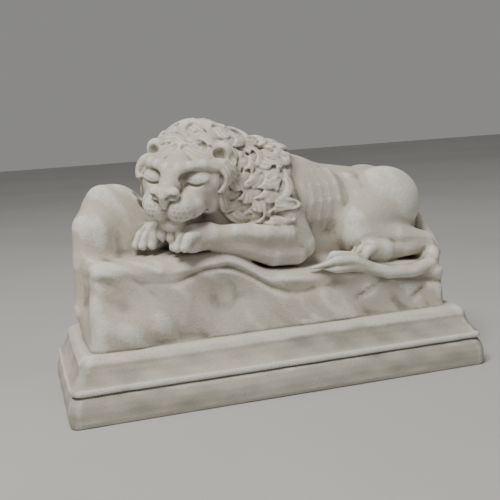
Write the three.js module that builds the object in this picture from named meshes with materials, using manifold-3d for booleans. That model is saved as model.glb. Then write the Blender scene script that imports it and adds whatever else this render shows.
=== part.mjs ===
// A sleeping lion on a block of rock, cast in one piece with a moulded oblong plinth.
// Millimetres. X runs along the plinth, from the boulder (-) to the lion's rump (+).
// -Y is the side that the lion faces and +Z is up. The origin is the middle of the underside.
import * as THREE from "three";
import Module from "manifold-3d";

// Plinth
const PLINTH_LENGTH = 200;
const PLINTH_DEPTH = 86;
const PLINTH_HEIGHT = 28.7;
const PLINTH_CORNER = 2.4;
const SLAB_HEIGHT = 12.6;
const SLAB_BELLY_HEIGHT = 4.4;
const SLAB_FOOT_INSET = 2.2;
const SLAB_SHOULDER_INSET = 2.2;
const GROOVE_INSET = 3.0;
const GROOVE_HEIGHT = 0.5;
const LIP_INSET = 1.3;
const LIP_HEIGHT = 2.6;
const WAIST_INSET = 6.4;
const WAIST_ABOVE_LIP = 8.1;
const TOP_INSET = 11.4;

// Rock
const ROCK_HEIGHT = 27.3;
const ROCK_END_INSET = 13.5;
const ROCK_SIDE_INSET = 12.6;
const ROCK_BED = 2;
const ROCK_EDGE_ROUND = 5;
const ROCK_TAPER = 0.06;
const ROCK_BULGE = 3.6;
const ROCK_HOLLOW = 2.6;
const ROCK_SWELL = 1;
const ROCK_CREASE = 1.5;
const ROCK_SHELF = 1.8;
const ROCK_CLEFT = 1.7;
const ROCK_CHISEL = 0.14;
const BOULDER_WIDTH = 50;
const BOULDER_THICKNESS = 28;
const BOULDER_TOP = 100;
const BOULDER_INSET = 35.5;
const BOULDER_Y = 6;
const LEDGE_LENGTH = 15;
const LEDGE_DEPTH = 34;
const LEDGE_TOP = 85;
const LEDGE_INSET = 20;
const LEDGE_Y = 9;

// Lion. It is drawn 152 long and every part of it follows its length.
const LION_LENGTH = 152;
const LION_DRAWN_LENGTH = 152;
const LION_SCALE = LION_LENGTH / LION_DRAWN_LENGTH;
const ROCK_TOP = PLINTH_HEIGHT + ROCK_HEIGHT;

// Fineness of the surface
const FINE_STEP = 1.65;
const COARSE_STEP = 4;
const FIGURE_TRIANGLES = 8400;

const { PI, abs, cos, exp, hypot, max, min, sin, sqrt } = Math;

function clamp(value, low, high) {
  return min(high, max(low, value));
}

function smoothStep(low, high, value) {
  const t = clamp((value - low) / (high - low), 0, 1);
  return t * t * (3 - 2 * t);
}

function vector(x, y, z) {
  return new THREE.Vector3(x, y, z);
}

// The smaller of two distances, with the corner between them filled to a soft fillet.
function softMin(a, b, fillet) {
  if (fillet <= 0) return min(a, b);
  const near = max(fillet - abs(a - b), 0) / fillet;
  return min(a, b) - near * near * fillet * 0.25;
}

// A body of distances sampled on a grid of unequal steps. Shapes are added to it and cut from it.
class Clay {
  constructor(axes) {
    this.axes = axes;
    this.count = axes.map((axis) => axis.length);
    this.distance = new Float64Array(this.count[0] * this.count[1] * this.count[2]).fill(40);
    this.made = [];
  }

  index(i, j, k) {
    return (i * this.count[1] + j) * this.count[2] + k;
  }

  range(axis, low, high) {
    const lines = this.axes[axis];
    let from = 0;
    let to = lines.length - 1;
    while (from < to && lines[from + 1] < low) from += 1;
    while (to > from && lines[to - 1] > high) to -= 1;
    return [from, to];
  }

  shape(form, fillet, sign) {
    const pad = fillet + 2;
    const spans = [0, 1, 2].map((axis) => this.range(axis, form.low[axis] - pad, form.high[axis] + pad));
    const [xs, ys, zs] = this.axes;
    for (let i = spans[0][0]; i <= spans[0][1]; i += 1) {
      for (let j = spans[1][0]; j <= spans[1][1]; j += 1) {
        for (let k = spans[2][0]; k <= spans[2][1]; k += 1) {
          const at = this.index(i, j, k);
          const d = form.distance(xs[i], ys[j], zs[k]);
          this.distance[at] = sign * softMin(sign * this.distance[at], d, fillet);
        }
      }
    }
    this.made.push({ form, fillet, sign });
  }

  // Lowers the surface by a depth that varies from place to place.
  sink(relief) {
    const [xs, ys, zs] = this.axes;
    for (let i = 0; i < xs.length; i += 1) {
      for (let j = 0; j < ys.length; j += 1) {
        for (let k = 0; k < zs.length; k += 1) {
          this.distance[this.index(i, j, k)] += relief(xs[i], ys[j], zs[k]);
        }
      }
    }
  }

  add(form, fillet = 0) {
    this.shape(form, fillet, 1);
  }

  cut(form, fillet = 0) {
    this.shape(form, fillet, -1);
  }
}

// Reads the shapes made so far, and the outward direction, at any point.
class Probe {
  constructor(made) {
    this.made = [...made];
  }

  value(p) {
    let d = 40;
    for (const { form, fillet, sign } of this.made) {
      d = sign * softMin(sign * d, form.distance(p.x, p.y, p.z), fillet);
    }
    return d;
  }

  normal(p, reach = 1.2) {
    const along = (x, y, z) => {
      const step = vector(x, y, z).multiplyScalar(reach);
      return this.value(p.clone().add(step)) - this.value(p.clone().sub(step));
    };
    return vector(along(1, 0, 0), along(0, 1, 0), along(0, 0, 1)).normalize();
  }
}

const LEVEL = [vector(1, 0, 0), vector(0, 1, 0), vector(0, 0, 1)];

// How far a body with the given half sizes along its own axes reaches along x, y or z.
function reachOf(frame, half, axis, round) {
  const parts = frame.map((direction, i) => abs(direction.getComponent(axis)) * half[i]);
  return round ? hypot(...parts) : parts[0] + parts[1] + parts[2];
}

function ellipsoid(centre, radii, frame = LEVEL) {
  const c = vector(...centre);
  const reach = [0, 1, 2].map((axis) => reachOf(frame, radii, axis, true));
  const [a, b, u] = frame;
  return {
    low: [c.x - reach[0], c.y - reach[1], c.z - reach[2]],
    high: [c.x + reach[0], c.y + reach[1], c.z + reach[2]],
    distance(x, y, z) {
      const dx = x - c.x;
      const dy = y - c.y;
      const dz = z - c.z;
      const p = (a.x * dx + a.y * dy + a.z * dz) / radii[0];
      const q = (b.x * dx + b.y * dy + b.z * dz) / radii[1];
      const r = (u.x * dx + u.y * dy + u.z * dz) / radii[2];
      const depth = sqrt(p * p + q * q + r * r);
      const slope = sqrt((p / radii[0]) ** 2 + (q / radii[1]) ** 2 + (r / radii[2]) ** 2);
      return (depth * (depth - 1)) / (slope + 1e-9);
    },
  };
}

// A box with rounded edges.
function block(centre, half, round, frame = LEVEL) {
  const c = vector(...centre);
  const reach = [0, 1, 2].map((axis) => reachOf(frame, half, axis, false));
  return {
    low: [c.x - reach[0], c.y - reach[1], c.z - reach[2]],
    high: [c.x + reach[0], c.y + reach[1], c.z + reach[2]],
    distance(x, y, z) {
      const from = vector(x, y, z).sub(c);
      const over = frame.map((direction, i) => abs(direction.dot(from)) - half[i] + round);
      const outside = hypot(...over.map((v) => max(v, 0)));
      return outside + min(max(...over), 0) - round;
    },
  };
}

// A chain of round cones through the points. squash narrows it along an axis.
function limb(points, radii, squash = [1, 1, 1]) {
  const thin = min(...squash);
  const at = points.map((p) => (Array.isArray(p) ? p : [p.x, p.y, p.z]));
  const size = at.map((_, i) => (Array.isArray(radii) ? radii[i] : radii));
  const low = [0, 1, 2].map((axis) => min(...at.map((p, i) => p[axis] - size[i] * squash[axis])));
  const high = [0, 1, 2].map((axis) => max(...at.map((p, i) => p[axis] + size[i] * squash[axis])));
  const drawn = at.map((p) => p.map((v, axis) => v / squash[axis]));
  return {
    low,
    high,
    distance(x, y, z) {
      const px = x / squash[0];
      const py = y / squash[1];
      const pz = z / squash[2];
      let best = Infinity;
      for (let i = 0; i + 1 < drawn.length; i += 1) {
        const [ax, ay, az] = drawn[i];
        const ux = drawn[i + 1][0] - ax;
        const uy = drawn[i + 1][1] - ay;
        const uz = drawn[i + 1][2] - az;
        const along = (px - ax) * ux + (py - ay) * uy + (pz - az) * uz;
        const t = clamp(along / (ux * ux + uy * uy + uz * uz + 1e-12), 0, 1);
        const away = sqrt((px - ax - t * ux) ** 2 + (py - ay - t * uy) ** 2 + (pz - az - t * uz) ** 2);
        best = min(best, away - (size[i] + (size[i + 1] - size[i]) * t));
      }
      return best * thin;
    },
  };
}

// Grid lines from low to high, close together between the two inner values.
function gridLines(low, high, fineLow, fineHigh) {
  const lines = [low];
  while (lines.at(-1) < high) {
    const x = lines.at(-1);
    const away = max(fineLow - x, x - fineHigh, 0);
    lines.push(x + min(COARSE_STEP, FINE_STEP + away * 0.05));
  }
  return lines;
}

// The six tetrahedra of a cell, by corner number: 1 is one step along x, 2 along y, 4 along z.
const TETRAHEDRA = [
  [0, 1, 3, 7],
  [0, 3, 2, 7],
  [0, 2, 6, 7],
  [0, 6, 4, 7],
  [0, 4, 5, 7],
  [0, 5, 1, 7],
];

// The closed surface of the clay, as points and triangles.
function skin(clay) {
  const [nx, ny, nz] = clay.count;
  const points = [];
  const faces = [];
  const known = new Map();
  const place = (node) => {
    const k = node % nz;
    const j = ((node - k) / nz) % ny;
    const i = ((node - k) / nz - j) / ny;
    return vector(clay.axes[0][i], clay.axes[1][j], clay.axes[2][k]);
  };
  const crossing = (a, b) => {
    const low = min(a, b);
    const high = max(a, b);
    const key = low * clay.distance.length + high;
    if (!known.has(key)) {
      const t = clay.distance[low] / (clay.distance[low] - clay.distance[high]);
      known.set(key, points.length);
      points.push(place(low).lerp(place(high), clamp(t, 0.08, 0.92)));
    }
    return known.get(key);
  };
  for (let i = 0; i + 1 < nx; i += 1) {
    for (let j = 0; j + 1 < ny; j += 1) {
      for (let k = 0; k + 1 < nz; k += 1) {
        const corner = [];
        for (let c = 0; c < 8; c += 1) {
          corner.push(clay.index(i + (c & 1), j + ((c >> 1) & 1), k + (c >> 2)));
        }
        const within = corner.filter((node) => clay.distance[node] < 0).length;
        if (within === 0 || within === 8) continue;
        for (const tetrahedron of TETRAHEDRA) {
          cover(tetrahedron.map((c) => corner[c]), clay, crossing, faces);
        }
      }
    }
  }
  return { points, faces };
}

// The triangles that part a tetrahedron's inner corners from its outer ones.
function cover(nodes, clay, crossing, faces) {
  const inner = nodes.filter((node) => clay.distance[node] < 0);
  const outer = nodes.filter((node) => clay.distance[node] >= 0);
  if (!inner.length || !outer.length) return;
  const order = [...inner, ...outer].map((node) => nodes.indexOf(node));
  let swaps = 0;
  order.forEach((a, i) => order.slice(i + 1).forEach((b) => (swaps += a > b ? 1 : 0)));
  const emit = (a, b, c) => faces.push(swaps % 2 ? [a, c, b] : [a, b, c]);
  if (inner.length === 1) {
    const [a, b, c] = outer.map((node) => crossing(inner[0], node));
    emit(a, b, c);
  } else if (inner.length === 3) {
    const [a, b, c] = inner.map((node) => crossing(node, outer[0]));
    emit(a, b, c);
  } else {
    const a = crossing(inner[0], outer[0]);
    const b = crossing(inner[0], outer[1]);
    const c = crossing(inner[1], outer[1]);
    const d = crossing(inner[1], outer[0]);
    emit(a, b, c);
    emit(a, c, d);
  }
}

// The largest of the separate closed pieces of a surface.
function largest({ points, faces }) {
  const parent = points.map((_, i) => i);
  const root = (i) => {
    let at = i;
    while (parent[at] !== at) {
      parent[at] = parent[parent[at]];
      at = parent[at];
    }
    return at;
  };
  for (const [a, b, c] of faces) {
    parent[root(b)] = root(a);
    parent[root(c)] = root(a);
  }
  const tally = new Map();
  faces.forEach(([a]) => tally.set(root(a), (tally.get(root(a)) ?? 0) + 1));
  const [best] = [...tally].reduce((most, next) => (next[1] > most[1] ? next : most));
  return { points, faces: faces.filter(([a]) => root(a) === best) };
}

// Squared distance to a set of planes, kept as ten sums for each point of the surface.
class Flatness {
  constructor(count) {
    this.sums = new Float64Array(count * 10);
    this.pair = new Float64Array(10);
  }

  addPlane(at, normal, point, weight) {
    const { x, y, z } = normal;
    const d = -normal.dot(point);
    const terms = [x * x, x * y, x * z, x * d, y * y, y * z, y * d, z * z, z * d, d * d];
    for (let i = 0; i < 10; i += 1) this.sums[at * 10 + i] += terms[i] * weight;
  }

  // The least cost for two points together, and the place that has it.
  together(a, b, pointA, pointB) {
    const s = this.pair;
    for (let i = 0; i < 10; i += 1) s[i] = this.sums[a * 10 + i] + this.sums[b * 10 + i];
    const pull = 0.002 * (s[0] + s[4] + s[7]) + 1e-9;
    const [p, q, r] = [s[0] + pull, s[4] + pull, s[7] + pull];
    const u = (pull * (pointA.x + pointB.x)) / 2 - s[3];
    const v = (pull * (pointA.y + pointB.y)) / 2 - s[6];
    const w = (pull * (pointA.z + pointB.z)) / 2 - s[8];
    const minorX = q * r - s[5] * s[5];
    const minorY = s[2] * s[5] - s[1] * r;
    const minorZ = s[1] * s[5] - s[2] * q;
    const whole = p * minorX + s[1] * minorY + s[2] * minorZ;
    const x = (u * minorX + v * minorY + w * minorZ) / whole;
    const y = (u * minorY + v * (p * r - s[2] * s[2]) + w * (s[1] * s[2] - p * s[5])) / whole;
    const z = (u * minorZ + v * (s[1] * s[2] - p * s[5]) + w * (p * q - s[1] * s[1])) / whole;
    const squares = s[0] * x * x + s[4] * y * y + s[7] * z * z;
    const products = s[1] * x * y + s[2] * x * z + s[5] * y * z + s[3] * x + s[6] * y + s[8] * z;
    return { a, b, x, y, z, cost: squares + 2 * products + s[9] };
  }

  join(a, b) {
    for (let i = 0; i < 10; i += 1) this.sums[a * 10 + i] += this.sums[b * 10 + i];
  }
}

function crossOf(a, b, c) {
  const [ux, uy, uz] = [b.x - a.x, b.y - a.y, b.z - a.z];
  const [vx, vy, vz] = [c.x - a.x, c.y - a.y, c.z - a.z];
  return vector(uy * vz - uz * vy, uz * vx - ux * vz, ux * vy - uy * vx);
}

// True when a triangle keeps its direction and doesn't become a sliver.
function staysSound(before, after) {
  const was = crossOf(...before);
  const is = crossOf(...after);
  const [a, b, c] = after;
  const sides = a.distanceToSquared(b) + b.distanceToSquared(c) + c.distanceToSquared(a);
  return is.dot(was) > 0.35 * is.length() * was.length() && is.length() > 0.06 * sides;
}

// Merges neighbouring points, flattest places first, until the wanted number of triangles is left.
function simplify({ points, faces }, wanted) {
  const flatness = new Flatness(points.length);
  const around = points.map(() => []);
  faces.forEach((face, f) => {
    const normal = crossOf(...face.map((p) => points[p]));
    const area = normal.length();
    normal.normalize();
    for (const p of face) {
      flatness.addPlane(p, normal, points[p], area);
      around[p].push(f);
    }
  });
  const alive = new Uint8Array(faces.length).fill(1);
  let left = faces.length;
  const neighbours = (p) => {
    const found = new Set();
    for (const f of around[p]) faces[f].forEach((q) => found.add(q));
    found.delete(p);
    return found;
  };
  const merge = ({ a, b, x, y, z }) => {
    const nearA = neighbours(a);
    const nearB = neighbours(b);
    let common = 0;
    for (const p of nearA) common += nearB.has(p) ? 1 : 0;
    if (common !== 2) return false;
    const target = vector(x, y, z);
    const moved = (p) => (p === a || p === b ? target : points[p]);
    for (const [near, far] of [[a, b], [b, a]]) {
      for (const f of around[near]) {
        if (faces[f].includes(far)) continue;
        if (!staysSound(faces[f].map((p) => points[p]), faces[f].map(moved))) return false;
      }
    }
    for (const f of around[b]) {
      if (faces[f].includes(a)) {
        alive[f] = 0;
        left -= 1;
        for (const p of faces[f]) {
          if (p !== b) around[p] = around[p].filter((g) => g !== f);
        }
      } else {
        faces[f] = faces[f].map((p) => (p === b ? a : p));
        around[a].push(f);
      }
    }
    around[b] = [];
    points[a] = target;
    flatness.join(a, b);
    return true;
  };
  let before = Infinity;
  while (left > wanted && left < before) {
    before = left;
    const edges = [];
    faces.forEach((face, f) => {
      if (!alive[f]) return;
      for (let i = 0; i < 3; i += 1) {
        const a = face[i];
        const b = face[(i + 1) % 3];
        if (a < b) edges.push(flatness.together(a, b, points[a], points[b]));
      }
    });
    edges.sort((p, q) => p.cost - q.cost || p.a - q.a || p.b - q.b);
    const touched = new Uint8Array(points.length);
    for (const edge of edges.slice(0, edges.length / 2)) {
      if (left <= wanted) break;
      if (touched[edge.a] || touched[edge.b]) continue;
      if (merge(edge)) {
        touched[edge.a] = 1;
        neighbours(edge.a).forEach((p) => (touched[p] = 1));
      }
    }
  }
  const kept = faces.filter((_, f) => alive[f]);
  const order = new Map();
  for (const p of kept.flat()) {
    if (!order.has(p)) order.set(p, order.size);
  }
  return {
    points: [...order.keys()].map((p) => points[p]),
    faces: kept.map((face) => face.map((p) => order.get(p))),
  };
}

// The moulded outline of the plinth from the foot up, as pairs of inset and height.
function plinthProfile() {
  const outline = [];
  const foot = SLAB_BELLY_HEIGHT * 0.6;
  for (const a of [0, 0.25, 0.5, 0.75, 1]) {
    outline.push([SLAB_FOOT_INSET * (1 - sin((a * PI) / 2)), foot * (1 - cos((a * PI) / 2))]);
  }
  outline.push([0, SLAB_BELLY_HEIGHT]);
  for (const t of [0.3, 0.55, 0.75, 0.9, 1]) {
    const z = SLAB_BELLY_HEIGHT + (SLAB_HEIGHT - SLAB_BELLY_HEIGHT) * t;
    outline.push([SLAB_SHOULDER_INSET * t ** 2.4, z]);
  }
  const lipFoot = SLAB_HEIGHT + GROOVE_HEIGHT;
  outline.push([GROOVE_INSET, SLAB_HEIGHT + 0.2]);
  outline.push([GROOVE_INSET, lipFoot]);
  outline.push([LIP_INSET + 0.5, lipFoot + LIP_HEIGHT * 0.15]);
  outline.push([LIP_INSET, lipFoot + LIP_HEIGHT * 0.45]);
  const lipTop = lipFoot + LIP_HEIGHT;
  const waist = lipTop + WAIST_ABOVE_LIP;
  for (const t of [0, 0.2, 0.4, 0.6, 0.8, 1]) {
    const a = (t * PI) / 2;
    const inset = 0.5 * (sin(a) + t);
    const rise = 0.5 * (1 - cos(a) + t);
    const across = LIP_INSET + 0.1 + (WAIST_INSET - LIP_INSET - 0.1) * inset;
    outline.push([across, lipTop + WAIST_ABOVE_LIP * rise]);
  }
  for (const t of [0.2, 0.4, 0.6, 0.8, 1]) {
    const a = (t * PI) / 2;
    const inset = WAIST_INSET + (TOP_INSET - WAIST_INSET) * (1 - cos(a));
    outline.push([inset, waist + (PLINTH_HEIGHT - waist) * sin(a)]);
  }
  return outline;
}

// Points round an oblong with rounded corners, at one height.
function oblong(inset, z) {
  const halfX = PLINTH_LENGTH / 2 - inset;
  const halfY = PLINTH_DEPTH / 2 - inset;
  const turns = [0, 1, 2, 3].flatMap((corner) => [0, 1, 2, 3].map((step) => [corner, step / 3]));
  return turns.map(([corner, part]) => {
    const a = ((corner + part) * PI) / 2;
    const sideX = corner === 0 || corner === 3 ? 1 : -1;
    const sideY = corner < 2 ? 1 : -1;
    const x = sideX * (halfX - PLINTH_CORNER) + PLINTH_CORNER * cos(a);
    const y = sideY * (halfY - PLINTH_CORNER) + PLINTH_CORNER * sin(a);
    return vector(x, y, z);
  });
}

function plinth() {
  const rings = plinthProfile().map(([inset, z]) => oblong(inset, z));
  const size = rings[0].length;
  const points = rings.flat();
  const faces = [];
  for (let r = 0; r + 1 < rings.length; r += 1) {
    for (let i = 0; i < size; i += 1) {
      const a = r * size + i;
      const b = r * size + ((i + 1) % size);
      faces.push([a, b, b + size], [a, b + size, a + size]);
    }
  }
  const top = (rings.length - 1) * size;
  for (let i = 1; i + 1 < size; i += 1) {
    faces.push([0, i + 1, i], [top, top + i, top + i + 1]);
  }
  return { points, faces };
}

// Height of the rock's top above its general level, in the lion's drawn units.
function ground(x, y) {
  const step = 9.5 * smoothStep(-2, -24, x);
  const slope = -0.055 * max(x, -20);
  const roll = 0.7 * sin(x * 0.09 + y * 0.12);
  const edge = -0.01 * max(-y - 18, 0) ** 2;
  return step + slope + roll + edge;
}

function rock() {
  const halfX = PLINTH_LENGTH / 2 - ROCK_END_INSET;
  const halfY = PLINTH_DEPTH / 2 - ROCK_SIDE_INSET;
  return {
    low: [-halfX - 6, -halfY - 8, 0],
    high: [halfX + 6, halfY + 8, ROCK_TOP + 14],
    distance(x, y, z) {
      const up = z - PLINTH_HEIGHT;
      const front = smoothStep(0, -6, y);
      const bulge = front * ROCK_BULGE * exp(-(((x + 62) / 22) ** 2) - ((up - 9) / 9) ** 2);
      const hollow = front * ROCK_HOLLOW * exp(-(((x + 22) / 15) ** 2) - ((up - 18) / 10) ** 2);
      const underTop = z - ROCK_TOP - LION_SCALE * ground(x / LION_SCALE, -28);
      const wander = 1.6 * sin(x * 0.09 + 0.5) + 0.8 * sin(x * 0.23);
      const shelf = ROCK_SHELF * (0.6 + 0.4 * sin(x * 0.14 + 1)) * exp(-(((underTop + 3.4) / 2.6) ** 2));
      const across = (underTop + 7.6 + wander) / 1.3;
      const cleft = ROCK_CLEFT * (0.5 + 0.5 * sin(x * 0.06 + 2.6)) * exp(-(across ** 2));
      const inward = ROCK_TAPER * up + ROCK_EDGE_ROUND;
      const overX = abs(x) - halfX + inward;
      const overY = abs(y) - halfY + inward + front * (cleft - shelf) - bulge + hollow;
      const wall = hypot(max(overX, 0), max(overY, 0)) + min(max(overX, overY), 0) - ROCK_EDGE_ROUND;
      const top = ROCK_TOP + LION_SCALE * ground(x / LION_SCALE, y / LION_SCALE);
      const bed = PLINTH_HEIGHT - ROCK_BED - z;
      return max(-softMin(-wall, -(z - top) * 0.95, ROCK_EDGE_ROUND), bed);
    },
  };
}

// How far the rock's faces sink at a point: broad swells, slanting creases and chisel marks.
function rockRelief(x, y, z) {
  const leaning = x + 0.7 * z + 3 * sin(z * 0.12 + y * 0.05) + 7 * sin(x * 0.031 + y * 0.06 + z * 0.05);
  const swell =
    sin(x * 0.055 + 0.6) * cos(z * 0.1 + 0.3) +
    0.7 * sin(x * 0.13 + y * 0.09 + 1) * sin(z * 0.16) +
    0.35 * sin(x * 0.31 + z * 0.23 + y * 0.2);
  const crease = 0.75 - abs(sin(leaning * 0.07 + y * 0.035)) ** 0.6;
  const strength = 0.5 + 0.5 * sin(x * 0.05 + z * 0.09 + y * 0.04 + 2);
  const chisel = sin(leaning * 0.52 + 2 * sin(z * 0.21)) * sin(x * 0.045 - z * 0.09 + y * 0.07);
  const depth = ROCK_SWELL * swell + ROCK_CREASE * strength * crease + ROCK_CHISEL * chisel;
  const besideLion = smoothStep(-46 * LION_SCALE, -56 * LION_SCALE, x);
  const top = ROCK_TOP + LION_SCALE * ground(x / LION_SCALE, y / LION_SCALE);
  const underTop = smoothStep(0, -7, z - top);
  return depth * max(besideLion, underTop) * smoothStep(PLINTH_HEIGHT - 1, PLINTH_HEIGHT + 1, z);
}

// Axes turned about the upright, then tipped along the length, in degrees.
function turned(aboutZ, aboutY) {
  const turn = new THREE.Matrix4().makeRotationY((-aboutY * PI) / 180);
  turn.multiply(new THREE.Matrix4().makeRotationZ((-aboutZ * PI) / 180));
  return [0, 1, 2].map((row) => vector(...[0, 1, 2].map((column) => turn.elements[column * 4 + row])));
}

// The directions in which the boulder is worn flat, and how much of its radius is left there.
const BOULDER_FACES = [
  [[-0.9, -0.35, 0.6], 1],
  [[0.7, -0.6, 0.75], 0.99],
  [[-0.2, -1, 0.1], 0.93],
  [[0.8, -0.7, -0.4], 0.96],
  [[-0.8, 0.7, 0.1], 0.93],
  [[0.5, 0.9, 0.4], 0.93],
];

// Everything beyond a plane that faces outward, within a box of that size.
function halfSpace(middle, outward, reach, size) {
  return {
    low: middle.map((v) => v - size),
    high: middle.map((v) => v + size),
    distance(x, y, z) {
      return reach - (x - middle[0]) * outward.x - (y - middle[1]) * outward.y - (z - middle[2]) * outward.z;
    },
  };
}

// A rounded stone that leans beside the head, worn to a few broad faces.
function boulder(clay) {
  const half = (BOULDER_TOP - PLINTH_HEIGHT) * 0.375;
  const middle = [BOULDER_INSET - PLINTH_LENGTH / 2, BOULDER_Y, BOULDER_TOP - half];
  const radii = [BOULDER_WIDTH / 2, BOULDER_THICKNESS / 2, half];
  const frame = turned(20, -6);
  clay.add(ellipsoid(middle, radii.map((r) => r * 1.1), frame));
  for (const [direction, left] of BOULDER_FACES) {
    const toward = vector(...direction).normalize();
    const outward = vector(0, 0, 0);
    frame.forEach((axis, i) => outward.addScaledVector(axis, toward.getComponent(i) * radii[i]));
    const reach = left * outward.length();
    clay.cut(halfSpace(middle, outward.normalize(), reach, max(...radii) * 1.3), 9);
  }
}

// The lion's shapes, in its drawn units, with z measured from the rock's top.
class Figure {
  constructor() {
    this.made = [];
  }

  add(form, fillet = 0) {
    this.made.push({ form, fillet, sign: 1 });
  }

  cut(form, fillet = 0) {
    this.made.push({ form, fillet, sign: -1 });
  }
}

// A shape in the lion's drawn units, set on the rock at full size.
function onRock(form) {
  const s = LION_SCALE;
  const seat = [0, 0, ROCK_TOP];
  return {
    low: form.low.map((v, axis) => v * s + seat[axis]),
    high: form.high.map((v, axis) => v * s + seat[axis]),
    distance: (x, y, z) => s * form.distance(x / s, y / s, (z - ROCK_TOP) / s),
  };
}

function body(lion) {
  lion.add(limb([[0, 3, 27], [30, 4, 24.5], [50, 4, 23], [68, 3, 21]], [26, 21, 19, 18.5], [1, 0.84, 1]), 3);
  lion.add(limb([[-2, 3, 37], [16, 3, 34]], [19.5, 15]), 8);
  lion.add(limb([[-4, 1, 38], [-28, -5, 43]], [20, 16]), 6);
  lion.add(ellipsoid([-14, 1, 24], [16, 17, 18]), 6);
  lion.add(limb([[4, 3, 8], [32, 3, 8], [66, 3, 8]], [18, 17.5, 18], [1, 0.84, 0.8]), 6);
  lion.add(ellipsoid([82, -14, -3], [6, 13, 6.5]), 3);
  for (const side of [-1, 1]) {
    const y = (away) => 3 + side * away;
    // Shoulder and upper arm
    const shoulder = [[9, y(10.5), 46], [-1, y(17.5), 30], [9, y(19), 14]];
    lion.add(limb(shoulder, [8, 10.5, 8], [1, 0.8, 1]), 5);
    // Ribs
    for (let i = 0; i < 5; i += 1) {
      const x = 18 + 4.6 * i;
      const rib = [[x - 3, y(12.4), 39], [x - 1, y(17.6 - 0.5 * i), 30], [x - 4, y(16.8 - 0.5 * i), 18]];
      lion.add(limb(rib, [0.8, 1.3, 0.8]), 6);
    }
    // Hip, thigh, shank, foot and paw
    const tipped = [vector(0.94, 0, -0.34), vector(0, 1, 0), vector(0.34, 0, 0.94)];
    lion.add(ellipsoid([65, y(12), 27], [17, 10.5, 14], tipped), 6);
    lion.add(limb([[64, y(14.5), 22], [49, y(17.5), 14]], [15.5, 11.5], [1, 0.72, 1]), 5);
    lion.add(limb([[46, y(19), 9.5], [64, y(21), 8], [81, y(20), 4]], [7.5, 6.5, 4.4]), 3);
    lion.add(limb([[82, y(20), 1.8], [67, y(24), 1.4], [54, y(26), 1.8]], [4.2, 3.9, 4.6]), 1.5);
    paw(lion, [52, y(26), 1.8], [-1, 0, -0.03], 5.2);
  }
}

function forelegs(lion) {
  const outer = [[14, -18, 10], [3, -21.5, 12.6], [-10, -24.2, 15.4], [-23, -25.3, 17.4], [-31, -25.5, 18]];
  lion.add(limb(outer, [6.5, 7.6, 7, 5, 5.2]), 3);
  lion.add(limb([[12, -20, 5.5], [0, -22.5, 7], [-14, -24.5, 12], [-27, -25, 15]], [6, 6.4, 5.2, 4.2]), 1.2);
  lion.add(limb([[3, -14, 38], [10, -18.5, 24], [17, -19, 11]], [8, 7.6, 5.6]), 2.5);
  lion.add(ellipsoid([17.5, -19.5, 8], [4.6, 4.8, 5.6]), 2);
  lion.cut(limb([[6, -29.2, 10.6], [-6, -30.6, 11.8], [-18, -30.2, 15.4]], [0.7, 0.9, 0.4]), 1.5);
  lion.cut(limb([[14, -18, 38], [20, -20.5, 24], [25, -20, 10]], [1.4, 2, 2]), 4);
  paw(lion, [-34, -25.5, 17.6], [-1, -0.12, -0.14], 6.8);
  lion.add(limb([[8, 22, 12], [-20, 12, 16], [-44, -1, 18]], [8.8, 7.8, 5.9]), 3);
  paw(lion, [-49, -4.5, 17.6], [-1, -0.6, -0.14], 6.8);
}

function tail(lion) {
  const course = [
    [80, 3, 19],
    [86.5, 1, 11],
    [88, -8, 3],
    [86, -18, -2.6],
    [79, -26, -6.6],
    [68, -29.6, -8.4],
    [55, -30.4, -7.4],
    [43, -29.6, -3.6],
  ];
  lion.add(limb(course, [5, 4.4, 3.8, 3.4, 3.2, 3.1, 3, 3]), 1);
  for (const [dy, dz, tip] of [[0, 0, 16], [-1.9, 1.2, 19], [1.9, 1, 21]]) {
    const hair = [
      [47, -29.8, -4.6],
      [37, -28.9 + dy, -0.9 + dz],
      [28, -28.9 + 1.7 * dy, -0.3 + 1.4 * dz],
      [tip, -28.7 + 0.5 * dy, -1.6 + 0.5 * dz],
    ];
    lion.add(limb(hair, [2.6, 3, 2.8, 1]), 0.6);
  }
}

// A paw with four toes and claws, flat on the ground.
function paw(lion, wrist, direction, size) {
  const forward = vector(...direction).normalize();
  const side = forward.clone().cross(LEVEL[2]).normalize();
  const up = side.clone().cross(forward);
  const at = (a, b, c) => {
    const from = vector(...wrist).addScaledVector(side, a * size);
    return from.addScaledVector(forward, b * size).addScaledVector(up, c * size);
  };
  lion.add(limb([at(0, -0.5, 0.05), at(0, 0.55, 0.12)], [size * 0.86, size * 0.98]), 2);
  for (const a of [-0.92, -0.31, 0.31, 0.92]) {
    const reach = abs(a) < 0.5 ? 1.8 : 1.5;
    const toe = [at(a * 0.72, 0.45, 0.36), at(a, reach * 0.72, 0.34), at(a * 1.06, reach, -0.18)];
    lion.add(limb(toe, [size * 0.36, size * 0.4, size * 0.32]), 0.5);
    const claw = [at(a * 1.07, reach + 0.2, 0), at(a * 1.07, reach + 0.36, -0.34)];
    lion.add(limb(claw, [size * 0.1, size * 0.05]), 0.2);
  }
  for (const a of [-0.61, 0, 0.61]) {
    const groove = [at(a * 0.8, 0.75, 0.95), at(a, 1.25, 0.75), at(a, 1.75, 0.15)];
    lion.cut(limb(groove, size * 0.075), 0.5);
  }
}

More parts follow.
